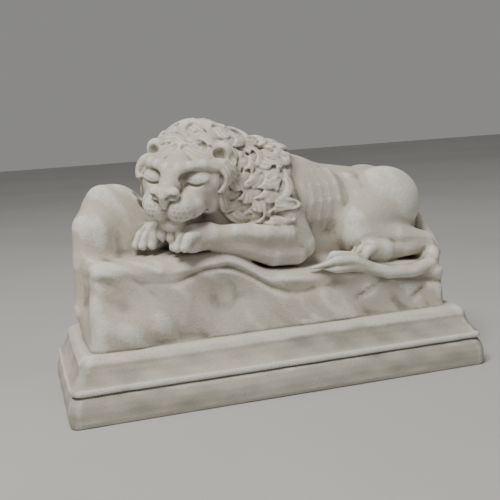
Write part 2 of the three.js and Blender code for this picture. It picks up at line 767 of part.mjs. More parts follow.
// The head's own directions: to its side, forward and up.
const HEAD_CENTRE = vector(-33, -8, 43.5);
const HEAD_UNIT = 1.31;
const HEAD_TURN = (36 * PI) / 180;
const HEAD_NOD = (15 * PI) / 180;
const HEAD_TILT = (6 * PI) / 180;
const FORWARD = vector(
  -sin(HEAD_TURN) * cos(HEAD_NOD),
  -cos(HEAD_TURN) * cos(HEAD_NOD),
  -sin(HEAD_NOD),
);
const SIDE = FORWARD.clone().cross(LEVEL[2]).normalize().applyAxisAngle(FORWARD, -HEAD_TILT);
const UP = SIDE.clone().cross(FORWARD);
const HEAD_FRAME = [SIDE, FORWARD, UP];

// A point of the head: to its side, forward and up from its middle.
function headPoint(s, f, u) {
  const p = HEAD_CENTRE.clone().addScaledVector(SIDE, s * HEAD_UNIT);
  return p.addScaledVector(FORWARD, f * HEAD_UNIT).addScaledVector(UP, u * HEAD_UNIT);
}

function headBall(place, radii) {
  return ellipsoid(headPoint(...place).toArray(), radii.map((r) => r * HEAD_UNIT), HEAD_FRAME);
}

function headLimb(places, radii) {
  return limb(places.map((p) => headPoint(...p)), radii.map((r) => r * HEAD_UNIT));
}

// The broad forms of the head, which the first locks grow from.
function skull(lion) {
  lion.add(headBall([0, -2, 3.5], [12.8, 13, 11]), 4);
  lion.add(headLimb([[0, 4, 7.6], [0, 13, 5.6], [0, 19.2, 3]], [6.6, 4.7, 3.5]), 4);
  for (const side of [-1, 1]) {
    const cheekbone = [[side * 12.2, 2, 4.5], [side * 10.6, 8.5, 2.2], [side * 7, 13.5, 0]];
    lion.add(headLimb(cheekbone, [4.2, 3.7, 3]), 3);
    lion.add(headBall([side * 9, 5.5, -3.2], [5.4, 8.4, 6.8]), 3);
  }
  lion.add(headLimb([[0, 4, -8.5], [0, 14.5, -9.4]], [8, 5.2]), 2);
  lion.add(headBall([0, 18.4, -9.4], [4.6, 3.8, 3.6]), 1.6);
}

// Muzzle and nose, then each side's brow, closed eye, nostril, lip and ear.
function face(lion) {
  for (const side of [-1, 1]) {
    lion.add(headBall([side * 5.6, 15.2, -3.4], [5.6, 6.6, 5]), 2);
    lion.add(headBall([side * 3.9, 19.8, -3.5], [4.9, 4.6, 4.6]), 1.6);
  }
  lion.add(headLimb([[-3, 22.3, 2.6], [3, 22.3, 2.6]], [2.3, 2.3]), 0.7);
  lion.add(headLimb([[0, 22.9, 1.6], [0, 23.7, -1.6]], [2.4, 1]), 0.6);
  halfFace(lion, -1);
  halfFace(lion, 1);
  lion.cut(headLimb([[0, 25.3, 0.6], [0, 25, -2.4], [0, 24.7, -5.4]], [0.35, 0.5, 0.6]), 0.3);
  // Tuft on the chin
  for (const [a, b] of [[-2.6, 0], [0, -1.2], [2.6, 0.2]]) {
    const tuft = [
      [a, 18.5, -11.2 + 0.2 * b],
      [a * 1.3, 20, -13.6 + b * 0.5],
      [a * 1.1 + 0.8, 19.6, -16.2 + b],
    ];
    lion.add(headLimb(tuft, [2.3, 2, 0.6]), 0.6);
  }
}

function halfFace(lion, side) {
  const mirrored = (places) => places.map(([a, b, c]) => [side * a, b, c]);
  const brow = [[2.6, 14, 8], [5.8, 13, 9], [9.4, 10.4, 8.7], [12.2, 5.6, 6.8]];
  lion.add(headLimb(mirrored(brow), [1.4, 2.1, 2.3, 1.8]), 3.5);
  lion.cut(headBall([side * 7.3, 15.4, 5.6], [4.6, 3.5, 2.2]), 1.4);
  lion.add(headBall([side * 7.5, 11.2, 4.3], [4.4, 3.1, 2.7]), 1.5);
  const lids = [];
  for (let i = 0; i < 9; i += 1) {
    const a = 3.9 + 0.95 * i;
    const c = 4.1 - 1.2 * sin((PI * (i + 0.5)) / 9);
    const round = max(0.2, 1 - ((a - 7.5) / 4.4) ** 2 - ((c - 4.3) / 2.7) ** 2);
    lids.push([a, 11.6 + 3.1 * sqrt(round), c]);
  }
  lion.cut(headLimb(mirrored(lids), Array(9).fill(0.5)), 0.2);
  const nostril = [[1.5, 24.6, 1.3], [3, 24.5, 2.1], [4.5, 23.6, 2], [5.3, 22.2, 0.9]];
  lion.cut(headLimb(mirrored(nostril), [0.6, 0.95, 0.85, 0.4]), 0.35);
  lion.cut(headLimb(mirrored([[3.7, 15.6, 3.6], [4.8, 19.6, 1]]), [0.5, 0.3]), 1.6);
  const lip = [[0, 24.3, -5.8], [2.6, 24.1, -7.3], [5.8, 21.4, -8.2], [8.8, 16.8, -7.8], [10.4, 12.2, -6.2]];
  lion.cut(headLimb(mirrored(lip), [0.7, 0.95, 1.1, 1, 0.6]), 0.4);
  lion.add(headBall([side * 12.2, -1.2, 9.6], [3.8, 2.5, 4]), 1.2);
  lion.cut(headBall([side * 12.7, 1.2, 9.8], [2.5, 2.2, 2.8]), 0.6);
}

function maneBase(lion) {
  lion.add(headBall([0, -9, 1.5], [17, 9, 17.5]), 3);
  lion.add(ellipsoid([-16, -1, 38.5], [18, 19, 26.5]), 4);
  lion.add(ellipsoid([-22, -7, 26], [13, 12.5, 15]), 4);
}

// A part of one that looks irregular from one whole number to the next.
function share(number, step = 0.61803398875) {
  return (number * step) % 1;
}

const MANE_ROWS = 8;
const MANE_START = vector(5, 1, 31);
const MANE_START_AXIS = vector(-1, -0.05, 0.1).normalize();
const LOCK_WIDTH = 3.2;
const LOCK_STEPS = 12;

// The locks of one row: where each starts, which way it runs, how long and wide it is.
function rowOfRoots(probe, row, number) {
  const t = row / (MANE_ROWS - 1);
  const crest = vector(0, 2, 3).multiplyScalar(sin(PI * t));
  const centre = MANE_START.clone().lerp(headPoint(0, 6.5, 0.5), t).add(crest);
  const axis = MANE_START_AXIS.clone().lerp(FORWARD, t).normalize();
  const across = axis.clone().cross(LEVEL[2]).normalize();
  const rise = across.clone().cross(axis);
  const rowWidth = LOCK_WIDTH * (row === 0 ? 0.72 : 1);
  const count = Math.floor((2 * PI * (25 - 7 * t ** 4)) / (2.1 * rowWidth));
  const lowest = row < 2 ? 0.15 : row < 4 ? -0.3 : -2;
  const front = smoothStep(0.6, 1, t);
  const found = [];
  for (let i = 0; i < count; i += 1) {
    const id = number + i;
    const angle = ((i + 0.5 * (row % 2) + 0.3 * share(id, 0.37)) / count) * 2 * PI;
    const ray = across.clone().multiplyScalar(cos(angle)).addScaledVector(rise, sin(angle));
    const reach = reachAlong(probe, centre, ray);
    const root = centre.clone().addScaledVector(ray, reach);
    const above = root.z - ground(root.x, root.y);
    const clear = above > 13 + 0.45 * max(root.x + 20, 0) && reach > 8 && reach < 38;
    if (!clear || sin(angle) <= lowest) continue;
    const along = axis.clone().multiplyScalar(-0.65).addScaledVector(ray, 0.1 + 0.5 * front);
    along.addScaledVector(LEVEL[2], -1.3).normalize();
    const length = (17 + 5 * share(id, 0.7549)) * (row === 0 ? 0.6 : 1);
    const curl = 1.9 + smoothStep(0.1, 0.8, sin(angle)) + 0.6 * share(id, 0.29);
    const width = rowWidth * (0.92 + 0.25 * share(id));
    const bend = (cos(angle) > 0 ? 1 : -1) * (id % 4 === 1 ? -1 : 1);
    found.push({ id, root, along, length, width, bend, curl });
  }
  return { found, count };
}

function reachAlong(probe, centre, ray) {
  let reach = 46;
  for (let i = 0; i < 40; i += 1) {
    reach += 0.8 * clamp(-probe.value(centre.clone().addScaledVector(ray, reach)), -3, 2);
  }
  return reach;
}

// Leads a lock over the surface in a wave that curls at its tip.
function grown(probe, { id, root, along, length, width, bend, curl }) {
  const wave = (0.4 + 0.25 * share(id, 0.53)) * bend;
  const lift = 0.9 + 0.25 * (id % 2);
  const at = root.clone();
  const steps = [];
  for (let i = 0; i < LOCK_STEPS; i += 1) {
    const s = i / (LOCK_STEPS - 1);
    const normal = probe.normal(at);
    at.addScaledVector(normal, -clamp(probe.value(at), -3, 3));
    const flat = along.clone().addScaledVector(normal, -along.dot(normal)).normalize();
    const hook = max(0, (s - 0.45) / 0.55) ** 1.5;
    const angle = wave * cos(2 * PI * s * 0.9) - curl * bend * hook;
    const heading = flat.clone().multiplyScalar(cos(angle));
    heading.addScaledVector(normal.clone().cross(flat), sin(angle));
    const fat = width * (0.66 + 0.34 * sin(PI * (0.15 + 0.7 * s))) * (1 - 0.55 * s ** 2.5);
    const rise = (-0.55 + lift * sin(PI * (0.06 + 0.6 * s))) * width * (1 - 0.3 * s ** 4);
    steps.push({ middle: at.clone().addScaledVector(normal, rise), normal, fat });
    at.addScaledVector(heading, length / (LOCK_STEPS - 1));
  }
  return steps;
}

// Rows of curling locks from the withers to the face. Each row is set into the ones behind it.
function locks(lion) {
  const probe = new Probe(lion.made);
  let number = 0;
  const lockLimb = (steps, out, part) => {
    const points = steps.map(({ middle, normal, fat }) => middle.clone().addScaledVector(normal, out * fat));
    return limb(points, steps.map(({ fat }) => part * fat));
  };
  for (let row = 0; row < MANE_ROWS; row += 1) {
    const { found, count } = rowOfRoots(probe, row, number);
    const made = found.map((lock) => grown(probe, lock));
    made.forEach((steps) => lion.cut(lockLimb(steps, 0.68, 1.06), 0.8));
    made.forEach((steps) => lion.add(lockLimb(steps, -0.45, 0.92), 0.6));
    number += count;
  }
}

function makeLion() {
  const lion = new Figure();
  body(lion);
  forelegs(lion);
  tail(lion);
  maneBase(lion);
  skull(lion);
  locks(lion);
  face(lion);
  return lion;
}

function rockAndLion() {
  const s = LION_SCALE;
  const clay = new Clay([
    gridLines(-PLINTH_LENGTH / 2, PLINTH_LENGTH / 2 + 2, -68 * s, 6 * s),
    gridLines(-PLINTH_DEPTH / 2 - 1, PLINTH_DEPTH / 2 + 1, -36 * s, 20 * s),
    gridLines(PLINTH_HEIGHT - ROCK_BED - 1, ROCK_TOP + 80 * s, ROCK_TOP - 2 * s, ROCK_TOP + 74 * s),
  ]);
  boulder(clay);
  clay.add(rock(), 3);
  const ledgeFoot = PLINTH_HEIGHT + 10;
  const ledgeMiddle = [LEDGE_INSET - PLINTH_LENGTH / 2, LEDGE_Y, (LEDGE_TOP + ledgeFoot) / 2];
  const ledgeHalf = [LEDGE_LENGTH / 2, LEDGE_DEPTH / 2, (LEDGE_TOP - ledgeFoot) / 2];
  clay.add(block(ledgeMiddle, ledgeHalf, 6, turned(-8, 6)), 8);
  clay.sink(rockRelief);
  for (const { form, fillet, sign } of makeLion().made) {
    clay.shape(onRock(form), fillet * s, sign);
  }
  return simplify(largest(skin(clay)), FIGURE_TRIANGLES);
}

const wasm = await Module();
wasm.setup();

function solid({ points, faces }) {
  const vertProperties = new Float32Array(points.flatMap((p) => [p.x, p.y, p.z]));
  const mesh = new wasm.Mesh({ numProp: 3, vertProperties, triVerts: new Uint32Array(faces.flat()) });
  return new wasm.Manifold(mesh);
}

function meshOf(name, shape) {
  const { numProp, vertProperties, triVerts } = shape.getMesh();
  const count = vertProperties.length / numProp;
  const position = new Float32Array(count * 3);
  for (let i = 0; i < count; i += 1) {
    position.set(vertProperties.subarray(i * numProp, i * numProp + 3), i * 3);
  }
  const geometry = new THREE.BufferGeometry();
  geometry.setAttribute("position", new THREE.BufferAttribute(position, 3));
  geometry.setIndex(new THREE.BufferAttribute(triVerts, 1));
  geometry.computeVertexNormals();
  const plaster = new THREE.MeshStandardMaterial({ color: 0xdedbd2, roughness: 0.85, flatShading: true });
  const mesh = new THREE.Mesh(geometry, plaster);
  mesh.name = name;
  return mesh;
}

const sculpture = new THREE.Group();
sculpture.add(meshOf("lion_sculpture", solid(plinth()).add(solid(rockAndLion()))));

export default sculpture;
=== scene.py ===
import math

import bpy
import numpy as np
from mathutils import Matrix, Vector


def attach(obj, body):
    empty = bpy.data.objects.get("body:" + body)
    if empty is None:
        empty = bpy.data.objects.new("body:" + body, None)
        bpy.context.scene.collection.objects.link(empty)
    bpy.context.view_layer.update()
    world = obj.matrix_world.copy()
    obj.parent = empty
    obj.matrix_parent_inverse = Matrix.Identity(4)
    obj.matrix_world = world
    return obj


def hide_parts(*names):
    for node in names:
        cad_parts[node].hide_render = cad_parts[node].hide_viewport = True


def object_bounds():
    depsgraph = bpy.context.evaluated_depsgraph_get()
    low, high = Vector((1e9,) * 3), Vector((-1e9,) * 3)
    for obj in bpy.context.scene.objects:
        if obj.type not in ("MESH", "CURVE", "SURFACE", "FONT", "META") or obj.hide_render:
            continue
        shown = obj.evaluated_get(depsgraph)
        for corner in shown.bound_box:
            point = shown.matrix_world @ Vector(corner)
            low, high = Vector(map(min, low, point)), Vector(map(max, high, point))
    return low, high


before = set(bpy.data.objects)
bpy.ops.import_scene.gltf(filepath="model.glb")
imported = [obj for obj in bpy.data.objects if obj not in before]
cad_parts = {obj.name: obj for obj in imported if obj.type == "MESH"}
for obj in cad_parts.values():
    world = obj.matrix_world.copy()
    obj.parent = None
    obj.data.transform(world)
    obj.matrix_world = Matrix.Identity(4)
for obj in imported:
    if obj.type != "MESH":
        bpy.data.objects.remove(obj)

cad_low, cad_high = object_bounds()

MM = 0.001

# Plinth
PLINTH_LENGTH = (cad_high.x - cad_low.x) / MM
PLINTH_DEPTH = (cad_high.y - cad_low.y) / MM
PLINTH_HEIGHT = 28.7
PLINTH_CORNER = 4.0
SLAB_HEIGHT = 12.6
SLAB_BELLY_HEIGHT = 4.4
SLAB_FOOT_INSET = 2.2
SLAB_SHOULDER_INSET = 2.2
GROOVE_INSET = 3.0
GROOVE_HEIGHT = 0.7
LIP_INSET = 1.3
LIP_HEIGHT = 2.6
WAIST_INSET = 6.4
WAIST_ABOVE_LIP = 8.1
TOP_INSET = 11.4
PLINTH_STEP = 1.3
LIP_MIDDLE = SLAB_HEIGHT + GROOVE_HEIGHT + LIP_HEIGHT * 0.5

# Rock
ROCK_HEIGHT = 27.3
ROCK_END_INSET = 13.5
ROCK_SIDE_INSET = 12.6
ROCK_BED = 2.0
ROCK_EDGE_ROUND = 5.0
ROCK_TAPER = 0.06
ROCK_BULGE = 3.6
ROCK_HOLLOW = 2.6
ROCK_SWELL = 0.85
ROCK_CREASE = 1.0
ROCK_SHELF = 1.8
ROCK_CLEFT = 1.7
ROCK_CHISEL = 0.14
ROCK_TOP = PLINTH_HEIGHT + ROCK_HEIGHT
# Where each scratch on the front starts, in x and z, then its length and its rise
ROCK_SCRATCHES = [(36, 37.5, 15, 7), (64, 33, 14, 9)]
SCRATCH_DEPTH = 1.1
SCRATCH_WIDTH = 0.7
BOULDER_WIDTH = 50.0
BOULDER_THICKNESS = 28.0
BOULDER_TOP = 100.0
BOULDER_INSET = 35.5
BOULDER_Y = 6.0
BOULDER_ROUNDING = 9.0
LEDGE_LENGTH = 15.0
LEDGE_DEPTH = 34.0
LEDGE_TOP = 85.0
LEDGE_INSET = 20.0
LEDGE_Y = 9.0

# Fineness of the surface
FINE_STEP = 0.57
COARSE_STEP = 1.25
FINE_ALONG = (-64, 6)
FINE_ACROSS = (-36, 18)
FINE_UPRIGHT = (ROCK_TOP - 4, ROCK_TOP + 74)
HOLLOW_STEP = 0.9
FIGURE_TRIANGLES = 150000
CLAY_TOP = ROCK_TOP + 80
FAR = 40.0


def unit(vector):
    v = np.array(vector, float)
    return v / np.linalg.norm(v)


def smooth_step(low, high, value):
    t = np.clip((value - low) / (high - low), 0, 1)
    return t * t * (3 - 2 * t)


def soft_min(a, b, fillet):
    """The smaller of two distances, with the corner between them filled to a soft fillet."""
    if fillet <= 0:
        return np.minimum(a, b)
    near = np.maximum(fillet - np.abs(a - b), 0) / fillet
    return np.minimum(a, b) - near * near * fillet * 0.25


def blurred(a, radius):
    """A box blur along each axis in turn, done twice."""
    for _ in range(2):
        for axis in range(3):
            pad = [(radius + 1, radius) if axis == q else (0, 0) for q in range(3)]
            total = np.cumsum(np.pad(a, pad, mode="edge"), axis=axis, dtype=np.float64)
            n = a.shape[axis]
            high = total.take(range(2 * radius + 1, 2 * radius + 1 + n), axis=axis)
            low = total.take(range(0, n), axis=axis)
            a = ((high - low) / (2 * radius + 1)).astype(np.float32)
    return a


def ellipsoid(centre, radii, frame_rows=None):
    c, r = np.array(centre, float), np.array(radii, float)
    f = np.eye(3) if frame_rows is None else np.array(frame_rows, float)
    reach = np.sqrt(((f * r[:, None]) ** 2).sum(0))

    def distance(x, y, z):
        dx, dy, dz = x - c[0], y - c[1], z - c[2]
        q = [(f[i, 0] * dx + f[i, 1] * dy + f[i, 2] * dz) / r[i] for i in range(3)]
        depth = np.sqrt(q[0] ** 2 + q[1] ** 2 + q[2] ** 2)
        slope = np.sqrt((q[0] / r[0]) ** 2 + (q[1] / r[1]) ** 2 + (q[2] / r[2]) ** 2)
        return depth * (depth - 1) / (slope + 1e-9)

    return c - reach, c + reach, distance


def block(centre, half, rounding, frame_rows):
    """A box with rounded edges."""
    c, h, f = np.array(centre, float), np.array(half, float), np.array(frame_rows, float)
    reach = (np.abs(f) * h[:, None]).sum(0)

    def distance(x, y, z):
        dx, dy, dz = x - c[0], y - c[1], z - c[2]
        over = [np.abs(f[i, 0] * dx + f[i, 1] * dy + f[i, 2] * dz) - h[i] + rounding for i in range(3)]
        outside = np.sqrt(sum(np.maximum(v, 0) ** 2 for v in over))
        return outside + np.minimum(np.maximum(np.maximum(over[0], over[1]), over[2]), 0) - rounding

    return c - reach, c + reach, distance


def limb(points, radii, squash=(1.0, 1.0, 1.0)):
    """A chain of round cones through the points. squash narrows it along an axis."""
    p, s = np.array(points, float), np.array(squash, float)
    r = np.array(radii, float) * np.ones(len(p))
    low = (p - r[:, None] * s).min(0)
    high = (p + r[:, None] * s).max(0)
    drawn = p / s

    def distance(x, y, z):
        best = None
        x, y, z = x / s[0], y / s[1], z / s[2]
        for a, b, radius_a, radius_b in zip(drawn[:-1], drawn[1:], r[:-1], r[1:]):
            u = b - a
            dx, dy, dz = x - a[0], y - a[1], z - a[2]
            t = np.clip((dx * u[0] + dy * u[1] + dz * u[2]) / (float(u @ u) + 1e-12), 0, 1)
            away = np.sqrt((dx - t * u[0]) ** 2 + (dy - t * u[1]) ** 2 + (dz - t * u[2]) ** 2)
            away = away - (radius_a + (radius_b - radius_a) * t)
            best = away if best is None else np.minimum(best, away)
        return best * float(s.min())

    return low, high, distance


class Figure:
    """The lion's shapes, with z measured from the rock's top, in the order they are made."""

    def __init__(self):
        self.made = []
        self.softened = 0

    def add(self, shape, fillet=0.0):
        self.made.append((shape, fillet, 1))

    def cut(self, shape, fillet=0.0):
        self.made.append((shape, fillet, -1))

    def soften_so_far(self):
        """Sets the shapes made so far apart as the ones whose surface is evened out."""
        self.softened = len(self.made)

    def value(self, p):
        """Distance from the shapes made so far, at loose points."""
        d = np.full(len(p), FAR)
        for (_, _, distance), fillet, sign in self.made:
            d = sign * soft_min(sign * d, distance(p[:, 0], p[:, 1], p[:, 2]), fillet)
        return d

    def normal(self, p, reach=1.2):
        steps = np.eye(3) * reach
        g = np.stack([self.value(p + step) - self.value(p - step) for step in steps], 1)
        return g / (np.linalg.norm(g, axis=1, keepdims=True) + 1e-9)


class Clay:
    """A body of distances sampled on a grid of unequal steps. Shapes are added to it and cut from it."""

    def __init__(self, *axes):
        self.axes = [np.asarray(a, np.float32) for a in axes]
        self.d = np.full([len(a) for a in self.axes], FAR, np.float32)

    def shape(self, form, fillet, sign, lift=0.0):
        low, high, distance = form
        offset = np.array([0, 0, lift])
        pad = fillet + 2.0
        spans = [
            slice(max(0, int(np.searchsorted(a, lo)) - 1), int(np.searchsorted(a, hi)) + 1)
            for a, lo, hi in zip(self.axes, low - pad + offset, high + pad + offset)
        ]
        if any(s.start >= s.stop for s in spans):
            return
        x = self.axes[0][spans[0]][:, None, None]
        y = self.axes[1][spans[1]][None, :, None]
        z = self.axes[2][spans[2]][None, None, :] - np.float32(lift)
        part = tuple(spans)
        self.d[part] = sign * soft_min(sign * self.d[part], distance(x, y, z), fillet)

    def shape_all(self, made, lift):
        for form, fillet, sign in made:
            self.shape(form, fillet, sign, lift)

    def soften(self):
        """Fills pits and rounds off crumbs that are finer than a cast would keep."""
        pit_crowding, steepness = 0.81, 12
        kept, from_each_side = 0.72, 0.14
        crowded = blurred((self.d < 0).astype(np.float32), 1)
        self.d = np.minimum(self.d, (pit_crowding - crowded) * steepness * FINE_STEP)
        for axis in range(3):
            d = np.moveaxis(self.d, axis, 0)
            d[1:-1] = kept * d[1:-1] + from_each_side * (d[2:] + d[:-2])

    def sink(self, relief):
        """Lowers the surface by a depth that varies from place to place."""
        i, j, k = np.nonzero(np.abs(self.d) < 8)
        x, y, z = self.axes[0][i], self.axes[1][j], self.axes[2][k]
        self.d[i, j, k] += relief(x, y, z)


# Rock

def ground(x, y):
    """Height of the rock's top above its general level."""
    step = 9.5 * smooth_step(-2, -24, x)
    slope = -0.055 * np.maximum(x, -20)
    roll = 0.7 * np.sin(x * 0.09 + y * 0.12)
    edge = -0.01 * np.maximum(-y - 18, 0) ** 2
    return step + slope + roll + edge


def rock():
    half_x = PLINTH_LENGTH / 2 - ROCK_END_INSET
    half_y = PLINTH_DEPTH / 2 - ROCK_SIDE_INSET

    def distance(x, y, z):
        up = z - PLINTH_HEIGHT
        front = smooth_step(0, -6, y)
        bulge = front * ROCK_BULGE * np.exp(-(((x + 62) / 22) ** 2) - ((up - 9) / 9) ** 2)
        hollow = front * ROCK_HOLLOW * np.exp(-(((x + 22) / 15) ** 2) - ((up - 18) / 10) ** 2)
        under_top = z - ROCK_TOP - ground(x, -28.0)
        wander = 1.6 * np.sin(x * 0.09 + 0.5) + 0.8 * np.sin(x * 0.23)
        at_shelf = np.exp(-(((under_top + 3.4) / 2.6) ** 2))
        at_cleft = np.exp(-(((under_top + 7.6 + wander) / 1.3) ** 2))
        shelf = ROCK_SHELF * (0.6 + 0.4 * np.sin(x * 0.14 + 1)) * at_shelf
        cleft = ROCK_CLEFT * (0.5 + 0.5 * np.sin(x * 0.06 + 2.6)) * at_cleft
        inward = ROCK_TAPER * up + ROCK_EDGE_ROUND
        over_x = np.abs(x) - half_x + inward
        over_y = np.abs(y) - half_y + inward + front * (cleft - shelf) - bulge + hollow
        outside = np.hypot(np.maximum(over_x, 0), np.maximum(over_y, 0))
        wall = outside + np.minimum(np.maximum(over_x, over_y), 0) - ROCK_EDGE_ROUND
        top = ROCK_TOP + ground(x, y)
        capped = -soft_min(-wall, -(z - top) * 0.95, ROCK_EDGE_ROUND)
        return np.maximum(capped, PLINTH_HEIGHT - ROCK_BED - z)

    low = np.array([-half_x - 6, -half_y - 8, 0])
    return low, np.array([half_x + 6, half_y + 8, ROCK_TOP + 14]), distance


def rock_relief(x, y, z):
    """How far the rock's faces sink at a point: swells, slanting creases, chisel marks, scratches."""
    leaning = x + 0.7 * z + 3 * np.sin(z * 0.12 + y * 0.05)
    leaning = leaning + 7 * np.sin(x * 0.031 + y * 0.06 + z * 0.05)
    swell = np.sin(x * 0.055 + 0.6) * np.cos(z * 0.1 + 0.3)
    swell = swell + 0.7 * np.sin(x * 0.13 + y * 0.09 + 1) * np.sin(z * 0.16)
    swell = swell + 0.35 * np.sin(x * 0.31 + z * 0.23 + y * 0.2)
    crease = 0.75 - np.abs(np.sin(leaning * 0.07 + y * 0.035)) ** 0.6
    strength = 0.5 + 0.5 * np.sin(x * 0.05 + z * 0.09 + y * 0.04 + 2)
    chisel = np.sin(leaning * 0.52 + 2 * np.sin(z * 0.21)) * np.sin(x * 0.045 - z * 0.09 + y * 0.07)
    depth = ROCK_SWELL * swell + ROCK_CREASE * strength * crease + ROCK_CHISEL * chisel
    for start_x, start_z, length, rise in ROCK_SCRATCHES:
        run = math.hypot(length, rise)
        along = ((x - start_x) * length + (z - start_z) * rise) / run ** 2
        across = ((z - start_z) * length - (x - start_x) * rise) / run
        on_front = smooth_step(0, -6, y)
        reach = smooth_step(0, 0.3, along) * smooth_step(1, 0.5, along) * on_front
        depth = depth + SCRATCH_DEPTH * reach * np.exp(-(across / SCRATCH_WIDTH) ** 2)
    beside_lion = smooth_step(-46, -56, x)
    under_top = smooth_step(0, -7, z - ROCK_TOP - ground(x, y))
    above_plinth = smooth_step(PLINTH_HEIGHT - 1, PLINTH_HEIGHT + 1, z)
    return depth * np.maximum(beside_lion, under_top) * above_plinth


def turned(about_z, about_y):
    """Axes turned about the upright, then tipped along the length, in degrees."""
    tip = Matrix.Rotation(math.radians(-about_y), 3, "Y")
    return np.array(tip @ Matrix.Rotation(math.radians(-about_z), 3, "Z"))


# The way each worn face looks, and how far out it lies as a share of the radius
BOULDER_FACES = [
    ((-0.9, -0.35, 0.6), 1.0),
    ((0.7, -0.6, 0.75), 0.99),
    ((-0.2, -1, 0.1), 0.93),
    ((0.8, -0.7, -0.4), 0.96),
    ((-0.8, 0.7, 0.1), 0.93),
    ((0.5, 0.9, 0.4), 0.93),
]


def half_space(middle, outward, reach, size):
    """Everything beyond a plane that faces outward, within a ball of that size."""
    def distance(x, y, z):
        dx, dy, dz = x - middle[0], y - middle[1], z - middle[2]
        along = dx * outward[0] + dy * outward[1] + dz * outward[2]
        return reach - along

    return middle - size, middle + size, distance


# Body

RIBS = 6
RIB_SPACING = 4.7
# How far back a rib has run at each height, and how deep it lies under the skin
RIB_COURSE = [(2.2, 41, 1.4), (0.4, 35, 0.9), (0, 28, 0.75), (1.6, 20, 0.9), (3.6, 14.5, 1.6)]


def body(lion):
    trunk = [(0, 3, 27), (30, 4, 24.5), (50, 4, 23), (68, 3, 21)]
    lion.add(limb(trunk, [26, 21, 19, 18.5], (1, 0.84, 1)), 3)
    lion.add(limb([(-2, 3, 37), (16, 3, 34)], [19.5, 15]), 8)
    lion.add(limb([(-4, 1, 38), (-28, -5, 43)], [20, 16]), 6)
    lion.add(ellipsoid((-14, 1, 24), (16, 17, 18)), 6)
    lion.add(limb([(4, 3, 8), (32, 3, 8), (66, 3, 8)], [18, 17.5, 18], (1, 0.84, 0.8)), 6)
    lion.add(ellipsoid((82, -14, -3), (6, 13, 6.5)), 3)
    for side in (-1, 1):
        def y(away):
            return 3 + side * away

        # Shoulder and upper arm
        shoulder = [(9, y(10.5), 46), (-1, y(17.5), 30), (9, y(19), 14)]
        lion.add(limb(shoulder, [8, 10.5, 8], (1, 0.8, 1)), 5)
        # Ribs
        for i in range(RIBS):
            x = 14 + RIB_SPACING * i
            wide = 21.8 - 0.14 * x
            rib = []
            for back, z, sunk in RIB_COURSE:
                across = wide * math.sqrt(1 - ((z - 25) / (wide / 0.84)) ** 2)
                rib.append((x - back, y(across - sunk), z))
            lion.add(limb(rib, [0.7, 1.0, 1.15, 1.05, 0.7]), 3.5)
        # Hip, thigh, shank, foot and paw
        tipped = [(0.94, 0, -0.34), (0, 1, 0), (0.34, 0, 0.94)]
        lion.add(ellipsoid((65, y(12), 27), (17, 10.5, 14), tipped), 6)
        lion.add(limb([(64, y(14.5), 22), (49, y(17.5), 14)], [15.5, 11.5], (1, 0.72, 1)), 5)
        lion.add(limb([(46, y(19), 9.5), (64, y(21), 8), (81, y(20), 4)], [7.5, 6.5, 4.4]), 3)
        lion.add(limb([(82, y(20), 1.8), (67, y(24), 1.6), (54, y(26), 1.9)], [4.3, 4.2, 4.9]), 1.5)
        paw(lion, (52, y(26), 1.9), (-1, 0, -0.03), 6.2)
        # Skin fold from the flank to the knee
        lion.add(limb([(45, y(10.6), 37), (47.4, y(15.2), 28), (46, y(18.4), 18)], [0.6, 1.4, 1.6]), 6)


TUFT_HAIRS = [(0, 0, 15), (-1.9, 1.2, 19), (1.9, 1.0, 21), (-1.6, -1.6, 22), (0.4, 2.6, 23)]


def forelegs(lion):
    # The near foreleg: forearm, upper arm, elbow, the groove along its muscle, paw
    outer = [(14, -18, 10), (3, -21.5, 12.6), (-10, -24.2, 15.4), (-23, -25.3, 17.4), (-31, -25.5, 18)]
    lion.add(limb(outer, [6.5, 7.6, 7.0, 5.0, 5.2]), 3)
    under = [(12, -20, 5.5), (0, -22.5, 7), (-14, -24.5, 12), (-27, -25, 15)]
    lion.add(limb(under, [6.0, 6.4, 5.2, 4.2]), 1.2)
    lion.add(limb([(3, -14, 38), (10, -18.5, 24), (17, -19, 11)], [8, 7.6, 5.6]), 2.5)
    lion.add(ellipsoid((17.5, -19.5, 8), (4.6, 4.8, 5.6)), 2)
    lion.cut(limb([(8, -30.8, 10.6), (-6, -32.2, 12.6), (-18, -32.0, 15.8)], [0.9, 1.3, 0.7]), 5)
    lion.add(limb([(8, -25.6, 15.6), (-5, -28.8, 17.2), (-18, -27.6, 18.6)], [1.2, 1.9, 1.0]), 5)
    lion.cut(limb([(14, -18, 38), (20, -20.5, 24), (25, -20, 10)], [1.4, 2, 2]), 4)
    paw(lion, (-34, -25.5, 17.6), (-1, -0.12, -0.14), 6.8)
    # The far foreleg
    lion.add(limb([(8, 22, 12), (-20, 12, 16), (-44, -1, 18)], [8.8, 7.8, 5.9]), 3)
    paw(lion, (-49, -4.5, 17.6), (-1, -0.6, -0.14), 6.8)


def tail(lion):
    course = [
        (80, 3, 19),
        (86.5, 1, 11),
        (88, -8, 3),
        (86, -18, -2.6),
        (79, -26, -6.6),
        (68, -29.6, -8.4),
        (55, -30.4, -7.4),
        (43, -29.6, -3.6),
    ]
    lion.add(limb(course, [5, 4.4, 3.8, 3.4, 3.2, 3.1, 3.0, 3.0]), 1.0)
    for dy, dz, tip in TUFT_HAIRS:
        hair = [
            (47, -29.8, -4.6),
            (37, -28.9 + dy, -0.9 + dz),
            (28, -28.9 + 1.7 * dy, -0.3 + 1.4 * dz),
            (tip, -28.7 + 0.5 * dy, -1.6 + 0.5 * dz),
        ]
        lion.add(limb(hair, [2.4, 2.6, 2.2, 0.5]), 0.2)


